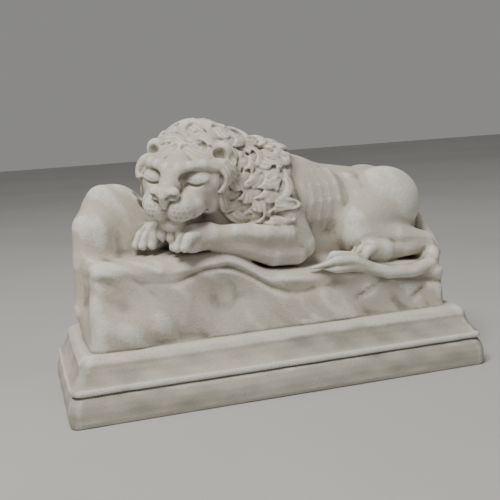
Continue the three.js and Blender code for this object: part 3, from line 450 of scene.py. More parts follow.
def paw(lion, wrist, direction, size):
    """A paw with four toes and claws, flat on the ground."""
    forward = unit(direction)
    side = unit(np.cross(forward, (0, 0, 1)))
    up = np.cross(side, forward)

    def at(a, b, c):
        return np.array(wrist) + (a * side + b * forward + c * up) * size

    lion.add(limb([at(0, -0.5, 0.05), at(0, 0.55, 0.12)], [size * 0.86, size * 0.98]), 2)
    for a in (-0.92, -0.31, 0.31, 0.92):
        reach = 1.8 if abs(a) < 0.5 else 1.5
        toe = [at(a * 0.72, 0.45, 0.36), at(a, reach * 0.72, 0.34), at(a * 1.06, reach, -0.18)]
        lion.add(limb(toe, [size * 0.36, size * 0.4, size * 0.32]), 0.5)
        claw = [at(a * 1.07, reach + 0.2, 0), at(a * 1.07, reach + 0.36, -0.34)]
        lion.add(limb(claw, [size * 0.1, size * 0.05]), 0.2)
    for a in (-0.61, 0, 0.61):
        groove = [at(a * 0.8, 0.75, 0.95), at(a, 1.25, 0.75), at(a, 1.75, 0.15)]
        lion.cut(limb(groove, size * 0.075), 0.5)


# Head

HEAD_CENTRE = np.array([-33, -8, 43.5])
HEAD_UNIT = 1.31
HEAD_TURN = math.radians(36)
HEAD_NOD = math.radians(15)
HEAD_TILT = math.radians(6)
FORWARD = np.array([
    -math.sin(HEAD_TURN) * math.cos(HEAD_NOD),
    -math.cos(HEAD_TURN) * math.cos(HEAD_NOD),
    -math.sin(HEAD_NOD),
])
LEVEL_SIDE = unit(np.cross(FORWARD, (0, 0, 1)))
SIDE = LEVEL_SIDE * math.cos(HEAD_TILT) + np.cross(LEVEL_SIDE, FORWARD) * math.sin(HEAD_TILT)
UP = np.cross(SIDE, FORWARD)
HEAD_FRAME = np.array([SIDE, FORWARD, UP])


def head_point(s, f, u):
    """A point of the head: to its side, forward and up from its middle."""
    return HEAD_CENTRE + (s * SIDE + f * FORWARD + u * UP) * HEAD_UNIT


def head_ball(place, radii):
    return ellipsoid(head_point(*place), np.array(radii) * HEAD_UNIT, HEAD_FRAME)


def head_limb(places, radii):
    return limb([head_point(*p) for p in places], np.array(radii) * HEAD_UNIT)


def skull(lion):
    """The broad forms of the head, which the first locks grow from."""
    lion.add(head_ball((0, -2, 3.5), (12.8, 13, 11)), 4)
    lion.add(head_limb([(0, 4, 7.6), (0, 13, 5.6), (0, 19.2, 3.0)], [6.6, 4.7, 3.5]), 4)
    for side in (-1, 1):
        cheekbone = [(side * 12.2, 2, 4.5), (side * 10.6, 8.5, 2.2), (side * 7, 13.5, 0)]
        lion.add(head_limb(cheekbone, [4.2, 3.7, 3]), 3)
        lion.add(head_ball((side * 9.0, 5.5, -3.2), (5.4, 8.4, 6.8)), 3)
    lion.add(head_limb([(0, 4, -8.5), (0, 14.5, -9.4)], [8, 5.2]), 2)
    lion.add(head_ball((0, 18.4, -9.4), (4.6, 3.8, 3.6)), 1.6)


def face(lion):
    """Muzzle and nose, then each side's brow, closed eye, nostril, lip and ear."""
    for side in (-1, 1):
        lion.add(head_ball((side * 5.6, 15.2, -3.4), (5.6, 6.6, 5)), 2)
        lion.add(head_ball((side * 3.9, 19.8, -3.5), (4.9, 4.6, 4.6)), 1.6)
    lion.add(head_limb([(-3.0, 22.3, 2.6), (3.0, 22.3, 2.6)], [2.3, 2.3]), 0.7)
    lion.add(head_limb([(0, 22.9, 1.6), (0, 23.7, -1.6)], [2.4, 1.0]), 0.6)
    for side in (-1, 1):
        half_face(lion, side)
    lion.cut(head_limb([(0, 25.3, 0.6), (0, 25.0, -2.4), (0, 24.7, -5.4)], [0.35, 0.5, 0.6]), 0.3)
    lion.cut(head_limb([(0, 15.8, 10.4), (0, 12.4, 13)], [0.6, 0.4]), 2.5)
    # Tuft on the chin
    for a, b in ((-2.6, 0), (0, -1.2), (2.6, 0.2)):
        tuft = [
            (a, 18.5, -11.2 + 0.2 * b),
            (a * 1.3, 20, -13.6 + b * 0.5),
            (a * 1.1 + 0.8, 19.6, -16.2 + b),
        ]
        lion.add(head_limb(tuft, [2.3, 2, 0.6]), 0.6)


def half_face(lion, side):
    # Brow, eye socket, eyeball, lid and the line where the eye is closed
    brow = [(2.6, 14.0, 8.0), (5.8, 13.0, 9.0), (9.4, 10.4, 8.7), (12.2, 5.6, 6.8)]
    lion.add(head_limb([(side * a, b, c) for a, b, c in brow], [1.1, 1.6, 1.7, 1.2]), 5)
    lion.cut(head_ball((side * 7.3, 15.4, 5.6), (4.6, 3.5, 2.2)), 1.4)
    lion.add(head_ball((side * 7.5, 11.2, 4.3), (4.4, 3.1, 2.7)), 1.5)
    edge = []
    for i in range(9):
        a = 3.9 + 0.95 * i
        c = 4.1 - 1.2 * math.sin(math.pi * (i + 0.5) / 9)
        b = 11.35 + 3.1 * math.sqrt(max(0.2, 1 - ((a - 7.5) / 4.4) ** 2 - ((c - 4.3) / 2.7) ** 2))
        edge.append((side * a, b, c))
    lid = [(a, b - 0.15, c + 0.6) for a, b, c in edge]
    lion.add(head_limb(lid, [0.35] + [0.55] * 7 + [0.3]), 0.5)
    closing = [(a, b + 0.2, c - 0.1) for a, b, c in edge[1:]]
    lion.cut(head_limb(closing, [0.3] + [0.5] * 5 + [0.4, 0.25]), 0.2)
    # Nostril, the fold beside the nose, the lip and the whisker marks
    nostril = [(1.5, 24.6, 1.3), (3.0, 24.5, 2.1), (4.5, 23.6, 2.0), (5.3, 22.2, 0.9)]
    lion.cut(head_limb([(side * a, b, c) for a, b, c in nostril], [0.6, 0.95, 0.85, 0.4]), 0.35)
    lion.cut(head_limb([(side * 3.7, 15.6, 3.6), (side * 4.8, 19.6, 1.0)], [0.5, 0.3]), 1.6)
    lip = [(0, 24.3, -5.8), (2.6, 24.1, -7.3), (5.8, 21.4, -8.2), (8.8, 16.8, -7.8), (10.4, 12.2, -6.2)]
    lion.cut(head_limb([(side * a, b, c) for a, b, c in lip], [0.7, 0.95, 1.1, 1.0, 0.6]), 0.4)
    for row in range(3):
        for i in range(4):
            a, c = 3.4 + 1.55 * i + 0.4 * row, -1.6 - 1.7 * row - 0.15 * i
            b = 19.8 + 4.6 * math.sqrt(max(0, 1 - ((a - 3.9) / 5.2) ** 2 - ((c + 3.5) / 4.9) ** 2))
            lion.cut(head_ball((side * a, b + 0.1, c), (0.42, 0.5, 0.42)), 0.2)
    # Ear
    lion.add(head_ball((side * 12.2, -1.2, 9.6), (3.8, 2.5, 4.0)), 1.2)
    lion.cut(head_ball((side * 12.7, 2.1, 9.8), (2.5, 2.1, 2.8)), 1.0)


# Mane

MANE_ROWS = 8
MANE_START = np.array([5.0, 1.0, 31.0])
MANE_START_AXIS = unit((-1, -0.05, 0.1))
LOCK_WIDTH = 3.2
LOCK_STEPS = 16
# Where the strands lie across a lock, and their radius, as shares of its width
STRANDS = (-0.62, 0, 0.62)
STRAND_RADIUS = 0.355


def mane_base(lion):
    lion.add(head_ball((0, -9, 1.5), (17, 9, 17.5)), 3)
    lion.add(ellipsoid((-16, -1, 38.5), (18, 19, 26.5)), 4)
    lion.add(ellipsoid((-22, -7, 26), (13, 12.5, 15)), 4)


def scatter(number, step=0.61803398875):
    """A value from 0 to 1 that looks irregular from one whole number to the next."""
    return (number * step) % 1.0


def row_of_roots(lion, row, number):
    """The locks of one row: where each starts, which way it runs, how long and wide it is."""
    t = row / (MANE_ROWS - 1)
    crest = np.array([0, 2.0, 3.0]) * math.sin(math.pi * t)
    centre = MANE_START * (1 - t) + head_point(0, 6.5, 0.5) * t + crest
    axis = unit(MANE_START_AXIS * (1 - t) + FORWARD * t)
    across = unit(np.cross(axis, (0, 0, 1)))
    rise = np.cross(across, axis)
    width = LOCK_WIDTH * (0.72 if row == 0 else 1.0)
    count = int(2 * math.pi * (25 - 7 * t ** 4) / (2.1 * width))
    ids = number + np.arange(count)
    angle = (np.arange(count) + 0.5 * (row % 2) + 0.3 * scatter(ids, 0.37)) / count * 2 * math.pi
    ray = np.cos(angle)[:, None] * across + np.sin(angle)[:, None] * rise
    reach = np.full(count, 46.0)
    for _ in range(40):
        reach = reach + 0.8 * np.clip(-lion.value(centre + ray * reach[:, None]), -3, 2)
    root = centre + ray * reach[:, None]
    lowest = 0.15 if row < 2 else -0.3 if row < 4 else -2.0
    above = root[:, 2] - ground(root[:, 0], root[:, 1])
    clear = (above > 13 + 0.45 * np.maximum(root[:, 0] + 20, 0)) & (reach > 8) & (reach < 38)
    keep = clear & (np.sin(angle) > lowest)
    front = float(smooth_step(0.6, 1, t))
    along = -axis * 0.65 + ray * (0.1 + 0.5 * front) + np.array([0, 0, -1.3])
    along = along / np.linalg.norm(along, axis=1, keepdims=True)
    length = (17 + 5 * scatter(ids, 0.7549)) * (0.6 if row == 0 else 1.0)
    curl = 1.9 + 1.0 * smooth_step(0.1, 0.8, np.sin(angle)) + 0.6 * scatter(ids, 0.29)
    width = width * (0.92 + 0.25 * scatter(ids))
    bend = np.where(np.cos(angle) > 0, 1.0, -1.0) * np.where(ids % 4 == 1, -1.0, 1.0)
    return [a[keep] for a in (ids, root, along, length, width, bend, curl)], count


def grown(lion, ids, at, along, length, width, bend, curl):
    """Leads each lock over the surface in a wave that curls at its tip."""
    wave = (0.4 + 0.25 * scatter(ids, 0.53)) * bend
    lift = 0.9 + 0.25 * (ids % 2)
    middle, across, outward, fat = [], [], [], []
    for i in range(LOCK_STEPS):
        s = i / (LOCK_STEPS - 1)
        normal = lion.normal(at)
        at = at - np.clip(lion.value(at), -3, 3)[:, None] * normal
        flat = along - (along * normal).sum(1, keepdims=True) * normal
        flat = flat / (np.linalg.norm(flat, axis=1, keepdims=True) + 1e-9)
        hook = max(0.0, (s - 0.45) / 0.55) ** 1.5
        angle = (wave * math.cos(2 * math.pi * s * 0.9) - curl * bend * hook)[:, None]
        heading = flat * np.cos(angle) + np.cross(normal, flat) * np.sin(angle)
        fat.append(width * (0.66 + 0.34 * math.sin(math.pi * (0.15 + 0.7 * s))) * (1 - 0.68 * s ** 2.5))
        rise = -0.55 + lift * math.sin(math.pi * (0.06 + 0.6 * s))
        middle.append(at + normal * (rise * width * (1 - 0.3 * s ** 4))[:, None])
        across.append(np.cross(normal, heading))
        outward.append(normal)
        at = at + heading * (length / (LOCK_STEPS - 1))[:, None]
    return [np.array(a).swapaxes(0, 1) for a in (middle, across, outward, fat)]


def locks(lion):
    """Rows of curling locks from the withers to the face. Each row is set into the ones behind it."""
    number = 0
    rows = []
    for row in range(MANE_ROWS):
        found, count = row_of_roots(lion, row, number)
        rows.append(grown(lion, *found))
        number += count
    for middle, across, outward, fat in rows:
        # A bed for each lock of the row, cut into the rows behind it
        for line, out, wide in zip(middle, outward, fat):
            lion.cut(limb(line + out * (0.68 * wide)[:, None], 1.16 * wide), 0.4)
        # The body of each lock, with its strands on top
        for line, side, out, wide in zip(middle, across, outward, fat):
            lion.add(limb(line - out * (0.62 * wide)[:, None], 0.72 * wide), 0.3)
            for strand in STRANDS:
                lifted = side * strand + out * 0.12 * (strand == 0)
                lion.add(limb(line + lifted * wide[:, None], STRAND_RADIUS * wide), 0.05)


def fringe(lion):
    """Short combed hair over the forehead, between the ears."""
    for i in range(11):
        side = -8.5 + 1.7 * i
        longer = 2.6 * math.exp(-(side / 4.5) ** 2) + 1.2 * (i % 2)
        droop = 0.03 * side * side
        hair = [
            (side * 0.8, 0.6, 13.0 - droop),
            (side * 0.9, 3.6, 12.9 - droop),
            (side * 1.0 + 0.5, 6.6, 11.9 - 1.3 * droop),
            (side * 1.05 + 1.2, 8.8 + longer, 10.4 - 1.5 * droop - 0.3 * longer),
        ]
        lion.add(head_limb(hair, [0.8, 1.25, 1.1, 0.3]), 0.1)


def make_lion():
    lion = Figure()
    body(lion)
    forelegs(lion)
    tail(lion)
    mane_base(lion)
    skull(lion)
    locks(lion)
    lion.soften_so_far()
    fringe(lion)
    face(lion)
    return lion


def boulder(clay):
    """A rounded stone leaning at the head's side, worn to a few broad faces."""
    half = (BOULDER_TOP - PLINTH_HEIGHT) * 0.375
    middle = np.array([BOULDER_INSET - PLINTH_LENGTH / 2, BOULDER_Y, BOULDER_TOP - half])
    radii = np.array([BOULDER_WIDTH / 2, BOULDER_THICKNESS / 2, half])
    frame_rows = turned(20, -6)
    clay.shape(ellipsoid(middle, radii * 1.1, frame_rows), 0, 1)
    for direction, share_of_radius in BOULDER_FACES:
        outward = frame_rows.T @ (unit(direction) * radii)
        reach = share_of_radius * np.linalg.norm(outward)
        beyond = half_space(middle, unit(outward), reach, max(radii) * 1.3)
        clay.shape(beyond, BOULDER_ROUNDING, -1)


def ledge(clay):
    """A block of rock at the end behind the boulder."""
    foot = PLINTH_HEIGHT + 10
    middle = (LEDGE_INSET - PLINTH_LENGTH / 2, LEDGE_Y, (LEDGE_TOP + foot) / 2)
    half = (LEDGE_LENGTH / 2, LEDGE_DEPTH / 2, (LEDGE_TOP - foot) / 2)
    clay.shape(block(middle, half, 6, turned(-8, 6)), 8, 1)


# Surface

def grid_lines(low, high, fine_low, fine_high):
    """Grid lines from low to high, close together between the two inner values."""
    lines = [low]
    while lines[-1] < high:
        away = max(fine_low - lines[-1], lines[-1] - fine_high, 0)
        lines.append(lines[-1] + min(COARSE_STEP, FINE_STEP + away * 0.05))
    return lines


def corner_view(grid, corner):
    """The values at one of the eight corners of every cell of a grid."""
    steps = [(corner >> axis) & 1 for axis in range(3)]
    return grid[tuple(slice(step, n - 1 + step) for step, n in zip(steps, grid.shape))]


def part_crossings(d):
    """Fills the few places where the surface would touch itself along an edge or at a corner."""
    just_inside = -0.02
    for _ in range(12):
        inside = d < 0
        filled = 0
        for axis in range(3):
            u, w = (axis + 1) % 3, (axis + 2) % 3

            def moved(i, j):
                cut = [slice(None)] * 3
                cut[u] = slice(i, d.shape[u] - 1 + i)
                cut[w] = slice(j, d.shape[w] - 1 + j)
                return tuple(cut)

            a, b, c, e = (inside[moved(i, j)] for i, j in ((0, 0), (1, 0), (0, 1), (1, 1)))
            for crossed, (i, j) in (((a & e & ~b & ~c), (1, 0)), ((~a & ~e & b & c), (0, 0))):
                filled += int(crossed.sum())
                d[moved(i, j)][crossed] = just_inside
        corner = [corner_view(inside, c) for c in range(8)]
        total = sum(c.astype(np.int8) for c in corner)
        for c in range(4):
            for wanted, state in ((2, True), (6, False)):
                lone = (total == wanted) & (corner[c] == state) & (corner[7 - c] == state)
                place = c if not state else c ^ 1
                corner_view(d, place)[lone] = just_inside
                filled += int(lone.sum())
        if not filled:
            return


EDGES = [(a, b) for a in range(8) for b in range(8) if b > a and bin(a ^ b).count("1") == 1]


def surface_net(clay):
    """Vertices and quads of the clay's surface, with one vertex in each cell that it crosses."""
    d = clay.d
    inside = d < 0
    count = sum(corner_view(inside, c).astype(np.int8) for c in range(8))
    cell = np.nonzero((count > 0) & (count < 8))
    number = np.full(count.shape, -1, np.int32)
    number[cell] = np.arange(len(cell[0]))
    corner = [corner_view(d, c)[cell] for c in range(8)]
    total = np.zeros((len(cell[0]), 3))
    hits = np.zeros(len(cell[0]))
    for a, b in EDGES:
        crossed = (corner[a] < 0) != (corner[b] < 0)
        t = np.where(crossed, corner[a] / np.where(crossed, corner[a] - corner[b], 1.0), 0.0)
        for axis in range(3):
            start, end = (a >> axis) & 1, (b >> axis) & 1
            total[:, axis] += np.where(crossed, start + (end - start) * t, 0.0)
        hits += crossed
    local = total / hits[:, None]
    lines = clay.axes
    low = np.stack([lines[axis][cell[axis]] for axis in range(3)], 1)
    high = np.stack([lines[axis][cell[axis] + 1] for axis in range(3)], 1)
    quads = []
    for axis in range(3):
        u, w = (axis + 1) % 3, (axis + 2) % 3
        first_part, second_part = [slice(1, -1)] * 3, [slice(1, -1)] * 3
        first_part[axis], second_part[axis] = slice(0, -1), slice(1, None)
        first, second = inside[tuple(first_part)], inside[tuple(second_part)]
        edge = np.nonzero(first != second)
        node = [edge[q] + (q != axis) for q in range(3)]
        ring = []
        for du, dw in ((-1, -1), (0, -1), (0, 0), (-1, 0)):
            at = list(node)
            at[u] = at[u] + du
            at[w] = at[w] + dw
            ring.append(number[tuple(at)])
        quad = np.stack(ring, 1)
        turned_over = ~first[edge]
        quad[turned_over] = quad[turned_over][:, ::-1]
        quads.append(quad)
    return low + (high - low) * local, np.concatenate(quads)


def largest(vertices, faces):
    """The largest of the separate closed pieces of a surface."""
    label = np.arange(len(vertices))
    while True:
        lowest = label[faces].min(1)
        fresh = label.copy()
        np.minimum.at(fresh, faces.ravel(), np.repeat(lowest, faces.shape[1]))
        fresh = fresh[fresh]
        if (fresh == label).all():
            break
        label = fresh
    best = np.bincount(label[faces[:, 0]]).argmax()
    faces = faces[label[faces[:, 0]] == best]
    used, packed = np.unique(faces, return_inverse=True)
    return vertices[used], packed.reshape(faces.shape)


# Plinth

def plinth_profile(fine=1):
    """The moulded outline of the plinth from the foot up, as pairs of inset and height."""
    outline = []
    foot = SLAB_BELLY_HEIGHT * 0.6
    for a in np.linspace(0, math.pi / 2, 4 * fine + 1):
        outline.append((SLAB_FOOT_INSET * (1 - math.sin(a)), foot * (1 - math.cos(a))))
    for t in np.linspace(0, 1, 6 * fine + 1):
        z = SLAB_BELLY_HEIGHT + (SLAB_HEIGHT - SLAB_BELLY_HEIGHT) * t
        outline.append((SLAB_SHOULDER_INSET * t ** 2.4, z))
    lip_foot = SLAB_HEIGHT + GROOVE_HEIGHT
    lip_edge = LIP_INSET + 0.1
    outline.append((GROOVE_INSET, SLAB_HEIGHT + 0.2))
    for a in np.linspace(0, math.pi / 2, 2 * fine + 1):
        inset = LIP_INSET + (GROOVE_INSET - LIP_INSET) * (1 - math.sin(a))
        outline.append((inset, lip_foot + LIP_HEIGHT * 0.45 * (1 - math.cos(a))))
    lip_top = lip_foot + LIP_HEIGHT
    waist = lip_top + WAIST_ABOVE_LIP
    for t in np.linspace(0, 1, 6 * fine + 1):
        a = t * math.pi / 2
        inset = 0.5 * (math.sin(a) + t)
        rise = 0.5 * (1 - math.cos(a) + t)
        outline.append((lip_edge + (WAIST_INSET - lip_edge) * inset, lip_top + WAIST_ABOVE_LIP * rise))
    for t in np.linspace(0, 1, 5 * fine + 1)[1:]:
        a = t * math.pi / 2
        inset = WAIST_INSET + (TOP_INSET - WAIST_INSET) * (1 - math.cos(a))
        outline.append((inset, waist + (PLINTH_HEIGHT - waist) * math.sin(a)))
    return outline


def oblong(inset, z):
    """Points round an oblong with rounded corners, at one height."""
    half_x = PLINTH_LENGTH / 2 - inset - PLINTH_CORNER
    half_y = PLINTH_DEPTH / 2 - inset - PLINTH_CORNER
    across = int(PLINTH_DEPTH / PLINTH_STEP)
    along = int(PLINTH_LENGTH / PLINTH_STEP)
    points = []
    for corner in range(4):
        sx = 1 if corner in (0, 3) else -1
        sy = 1 if corner < 2 else -1
        for part in range(6):
            a = (corner + part / 5) * math.pi / 2
            x = sx * half_x + PLINTH_CORNER * math.cos(a)
            y = sy * half_y + PLINTH_CORNER * math.sin(a)
            points.append((x, y, z))
        nx = 1 if (corner + 1) % 4 in (0, 3) else -1
        ny = 1 if (corner + 1) % 4 < 2 else -1
        steps = along if corner % 2 == 0 else across
        out_x = PLINTH_CORNER * math.cos((corner + 1) * math.pi / 2)
        out_y = PLINTH_CORNER * math.sin((corner + 1) * math.pi / 2)
        for i in range(1, steps):
            t = i / steps
            x = (sx * (1 - t) + nx * t) * half_x + out_x
            y = (sy * (1 - t) + ny * t) * half_y + out_y
            points.append((x, y, z))
    return points


def wear(x, y, z):
    """How far the plinth's faces have sunk or been rubbed away at a point, never outward."""
    long_wave = np.sin(x * 0.045 + z * 0.11 + 0.7) * np.cos(y * 0.07 - 0.4)
    short_wave = np.sin(x * 0.31 + y * 0.27) * np.sin(z * 0.47 + x * 0.06)
    nick = np.maximum(0, np.sin(x * 0.173 + y * 0.21 + 1.2) * np.sin(x * 0.097 - y * 0.13) - 0.62)
    streak = np.sin(z * 1.9 + 1.4 * np.sin(x * 0.05 + y * 0.08))
    waves = 0.4 + 0.17 * long_wave + 0.12 * short_wave + 0.03 * streak
    return waves + 0.9 * nick * np.exp(-((z - LIP_MIDDLE) / 2.2) ** 2)


def plinth_surface():
    rings = [oblong(inset, z) for inset, z in plinth_profile(2)]
    size = len(rings[0])
    vertices = np.array(rings).reshape(-1, 3)
    x, y, z = vertices.T
    shrink = wear(x, y, z) * np.clip(z / 1.5, 0, 1)
    near_end = np.clip((np.abs(x) - PLINTH_LENGTH / 2 + 24) / 12, 0, 1)
    near_side = np.clip((np.abs(y) - PLINTH_DEPTH / 2 + 24) / 12, 0, 1)
    shift_x = np.sign(x) * shrink * near_end
    shift_y = np.sign(y) * shrink * near_side
    vertices[:, 0] -= shift_x
    vertices[:, 1] -= shift_y
    i = np.arange(size)
    j = (i + 1) % size
    faces = []
    for r in range(len(rings) - 1):
        below, above = r * size, (r + 1) * size
        faces.append(np.stack([below + i, below + j, above + j, above + i], 1))
    underside = list(range(size))[::-1]
    top = [(len(rings) - 1) * size + k for k in i]
    return vertices, np.concatenate(faces), [underside, top]


def mesh_object(name, vertices, faces):
    mesh = bpy.data.meshes.new(name)
    mesh.from_pydata((np.asarray(vertices) * MM).tolist(), [], faces)
    mesh.update()
    made = bpy.data.objects.new(name, mesh)
    bpy.context.scene.collection.objects.link(made)
    return made


def apply_modifiers(piece):
    graph = bpy.context.evaluated_depsgraph_get()
    mesh = bpy.data.meshes.new_from_object(piece.evaluated_get(graph))
    piece.modifiers.clear()
    piece.data = mesh


def join_solids(first, second):
    """Merges the second closed piece into the first and removes it."""
    join = first.modifiers.new("join", "BOOLEAN")
    join.operation = "UNION"
    join.solver = "MANIFOLD"
    join.object = second
    apply_modifiers(first)
    bpy.data.objects.remove(second, do_unlink=True)


def rock_and_lion():
    half_length, half_depth = round(PLINTH_LENGTH / 2), round(PLINTH_DEPTH / 2)
    clay = Clay(
        grid_lines(-half_length, half_length, *FINE_ALONG),
        grid_lines(-half_depth, half_depth, *FINE_ACROSS),
        grid_lines(PLINTH_HEIGHT - ROCK_BED - 1, CLAY_TOP, *FINE_UPRIGHT),
    )
    boulder(clay)
    clay.shape(rock(), 3, 1)
    ledge(clay)
    clay.sink(rock_relief)
    lion = make_lion()
    clay.shape_all(lion.made[:lion.softened], ROCK_TOP)
    clay.soften()
    clay.shape_all(lion.made[lion.softened:], ROCK_TOP)
    part_crossings(clay.d)
    vertices, quads = surface_net(clay)
    return clay, *largest(vertices, quads)


def make_sculpture():
    clay, vertices, quads = rock_and_lion()
    sculpture = mesh_object("lion_sculpture_cast", vertices, quads.tolist())
    thin = sculpture.modifiers.new("thin", "DECIMATE")
    thin.ratio = min(1.0, FIGURE_TRIANGLES / (2 * len(quads)))
    apply_modifiers(sculpture)
    ring_vertices, ring_faces, caps = plinth_surface()
    foot = mesh_object("plinth", ring_vertices, ring_faces.tolist() + caps)
    join_solids(sculpture, foot)
    sculpture.data.shade_smooth()
    mark_hollows(sculpture, clay)
    return sculpture


def sampled(grid, axes, p):
    """Values of an evenly or unevenly spaced grid at loose points."""
    index, part = [], []
    for axis, lines in enumerate(axes):
        i = np.clip(np.searchsorted(lines, p[:, axis]) - 1, 0, len(lines) - 2)
        index.append(i)
        part.append(np.clip((p[:, axis] - lines[i]) / (lines[i + 1] - lines[i]), 0, 1))
    total = 0
    for c in range(8):
        bits = [(c >> axis) & 1 for axis in range(3)]
        weight = 1
        for axis in range(3):
            weight = weight * (part[axis] if bits[axis] else 1 - part[axis])
        total = total + weight * grid[index[0] + bits[0], index[1] + bits[1], index[2] + bits[2]]
    return total


def creases(mesh, places, rounds):
    """How far each point lies below the evened-out surface round it, in millimetres."""
    count = len(mesh.vertices)
    ends = np.empty(len(mesh.edges) * 2, np.int32)
    mesh.edges.foreach_get("vertices", ends)
    first, second = ends.reshape(-1, 2).T
    normals = np.empty(count * 3, np.float32)
    mesh.vertices.foreach_get("normal", normals)
    degree = np.bincount(ends, minlength=count)
    even = places.astype(np.float64)
    for _ in range(rounds):
        total = [
            np.bincount(first, even[second, axis], count) + np.bincount(second, even[first, axis], count)
            for axis in range(3)
        ]
        even = 0.5 * even + 0.5 * np.stack(total, 1) / degree[:, None]
    return ((even - places) * normals.reshape(-1, 3)).sum(1)


def filled_share(clay, axes):
    """How much of each cell of an even grid the sculpture fills, from none to all of it."""
    field = clay.d
    for axis in range(3):
        lines = clay.axes[axis]
        i = np.clip(np.searchsorted(lines, axes[axis]) - 1, 0, len(lines) - 2)
        t = np.clip((axes[axis] - lines[i]) / (lines[i + 1] - lines[i]), 0, 1)
        shape = [1, 1, 1]
        shape[axis] = -1
        t = t.reshape(shape).astype(np.float32)
        field = field.take(i, axis=axis) * (1 - t) + field.take(i + 1, axis=axis) * t
    solid = np.clip(0.5 - field / HOLLOW_STEP, 0, 1)
    outline = np.array(plinth_profile())
    inset = np.interp(axes[2], outline[:, 1], outline[:, 0])
    x, y, z = np.abs(axes[0])[:, None, None], np.abs(axes[1])[None, :, None], axes[2][None, None, :]
    beyond = np.maximum(x - PLINTH_LENGTH / 2, y - PLINTH_DEPTH / 2) + inset[None, None, :]
    beyond = np.maximum(beyond, np.maximum(-z, z - PLINTH_HEIGHT))
    return np.maximum(solid, np.clip(0.5 - beyond / HOLLOW_STEP, 0, 1))


def mark_hollows(sculpture, clay):
    """Writes how deep each point lies in creases and hollows, for the grime and painted shade that
    darken them.
    """
    margin = 12
    lows = (-PLINTH_LENGTH / 2 - margin, -PLINTH_DEPTH / 2 - margin, -margin)
    highs = (PLINTH_LENGTH / 2 + margin, PLINTH_DEPTH / 2 + margin, CLAY_TOP + margin)
    axes = [np.arange(low, high, HOLLOW_STEP) for low, high in zip(lows, highs)]
    solid = filled_share(clay, axes)
    mesh = sculpture.data
    p = np.empty(len(mesh.vertices) * 3, np.float32)
    mesh.vertices.foreach_get("co", p)
    p = p.reshape(-1, 3) / MM
    depths = {
        "crease": creases(mesh, p, 6),
        "narrow_hollow": sampled(blurred(solid, 1), axes, p),
        "broad_hollow": sampled(blurred(solid, 4), axes, p),
    }
    for name, depth in depths.items():
        mark = mesh.attributes.new(name, "FLOAT", "POINT")
        mark.data.foreach_set("value", depth.astype(np.float32))


# Material

class Graph:
    """Adds and links the nodes of one material."""

    def __init__(self, name):
        self.material = bpy.data.materials.new(name)
        self.material.use_nodes = True
        self.tree = self.material.node_tree
        self.shader = self.tree.nodes["Principled BSDF"]

    def node(self, kind, **settings):
        made = self.tree.nodes.new(kind)
        for key, value in settings.items():
            setattr(made, key, value)
        return made

    def put(self, socket, value):
        if isinstance(value, bpy.types.NodeSocket):
            self.tree.links.new(value, socket)
        else:
            socket.default_value = value

    def mark(self, name):
        return self.node("ShaderNodeAttribute", attribute_name=name).outputs["Fac"]

    def height(self):
        apart = self.node("ShaderNodeSeparateXYZ")
        self.put(apart.inputs[0], self.node("ShaderNodeTexCoord").outputs["Object"])
        return apart.outputs["Z"]

    def noise(self, scale, detail=3.0, roughness=0.55, distortion=0.0):
        made = self.node("ShaderNodeTexNoise")
        place = self.node("ShaderNodeTexCoord").outputs["Object"]
        self.put(made.inputs["Vector"], place)
        self.put(made.inputs["Scale"], scale)
        self.put(made.inputs["Detail"], detail)
        self.put(made.inputs["Roughness"], roughness)
        self.put(made.inputs["Distortion"], distortion)
        return made.outputs["Fac"]

    def span(self, value, low, high, start=0.0, end=1.0):
        made = self.node("ShaderNodeMapRange")
        made.interpolation_type = "SMOOTHSTEP"
        for name, number in (("From Min", low), ("From Max", high), ("To Min", start), ("To Max", end)):
            self.put(made.inputs[name], number)
        self.put(made.inputs["Value"], value)
        return made.outputs["Result"]

    def maths(self, operation, a, b):
        made = self.node("ShaderNodeMath", operation=operation)
        self.put(made.inputs[0], a)
        self.put(made.inputs[1], b)
        return made.outputs[0]

    def mixed(self, amount, a, b):
        made = self.node("ShaderNodeMix", data_type="RGBA")
        self.put(made.inputs["Factor"], amount)
        self.put(made.inputs["A"], a)
        self.put(made.inputs["B"], b)
        return made.outputs["Result"]

    def bump(self, height, strength, distance, below=None):
        made = self.node("ShaderNodeBump")
        self.put(made.inputs["Strength"], strength)
        self.put(made.inputs["Distance"], distance)
        self.put(made.inputs["Height"], height)
        if below is not None:
            self.put(made.inputs["Normal"], below)
        return made.outputs["Normal"]


PLASTER = (0.51, 0.478, 0.40, 1)
PLASTER_WARM = (0.51, 0.45, 0.385, 1)
PLASTER_COOL = (0.45, 0.43, 0.37, 1)
GRIME_AND_SHADE = (0.15, 0.14, 0.105, 1)
DUST_AND_SHADE = (0.335, 0.32, 0.27, 1)
WORN = (0.70, 0.68, 0.63, 1)
FLOOR = (0.46, 0.455, 0.44, 1)
FLOOR_CLOUDED = (0.42, 0.415, 0.40, 1)


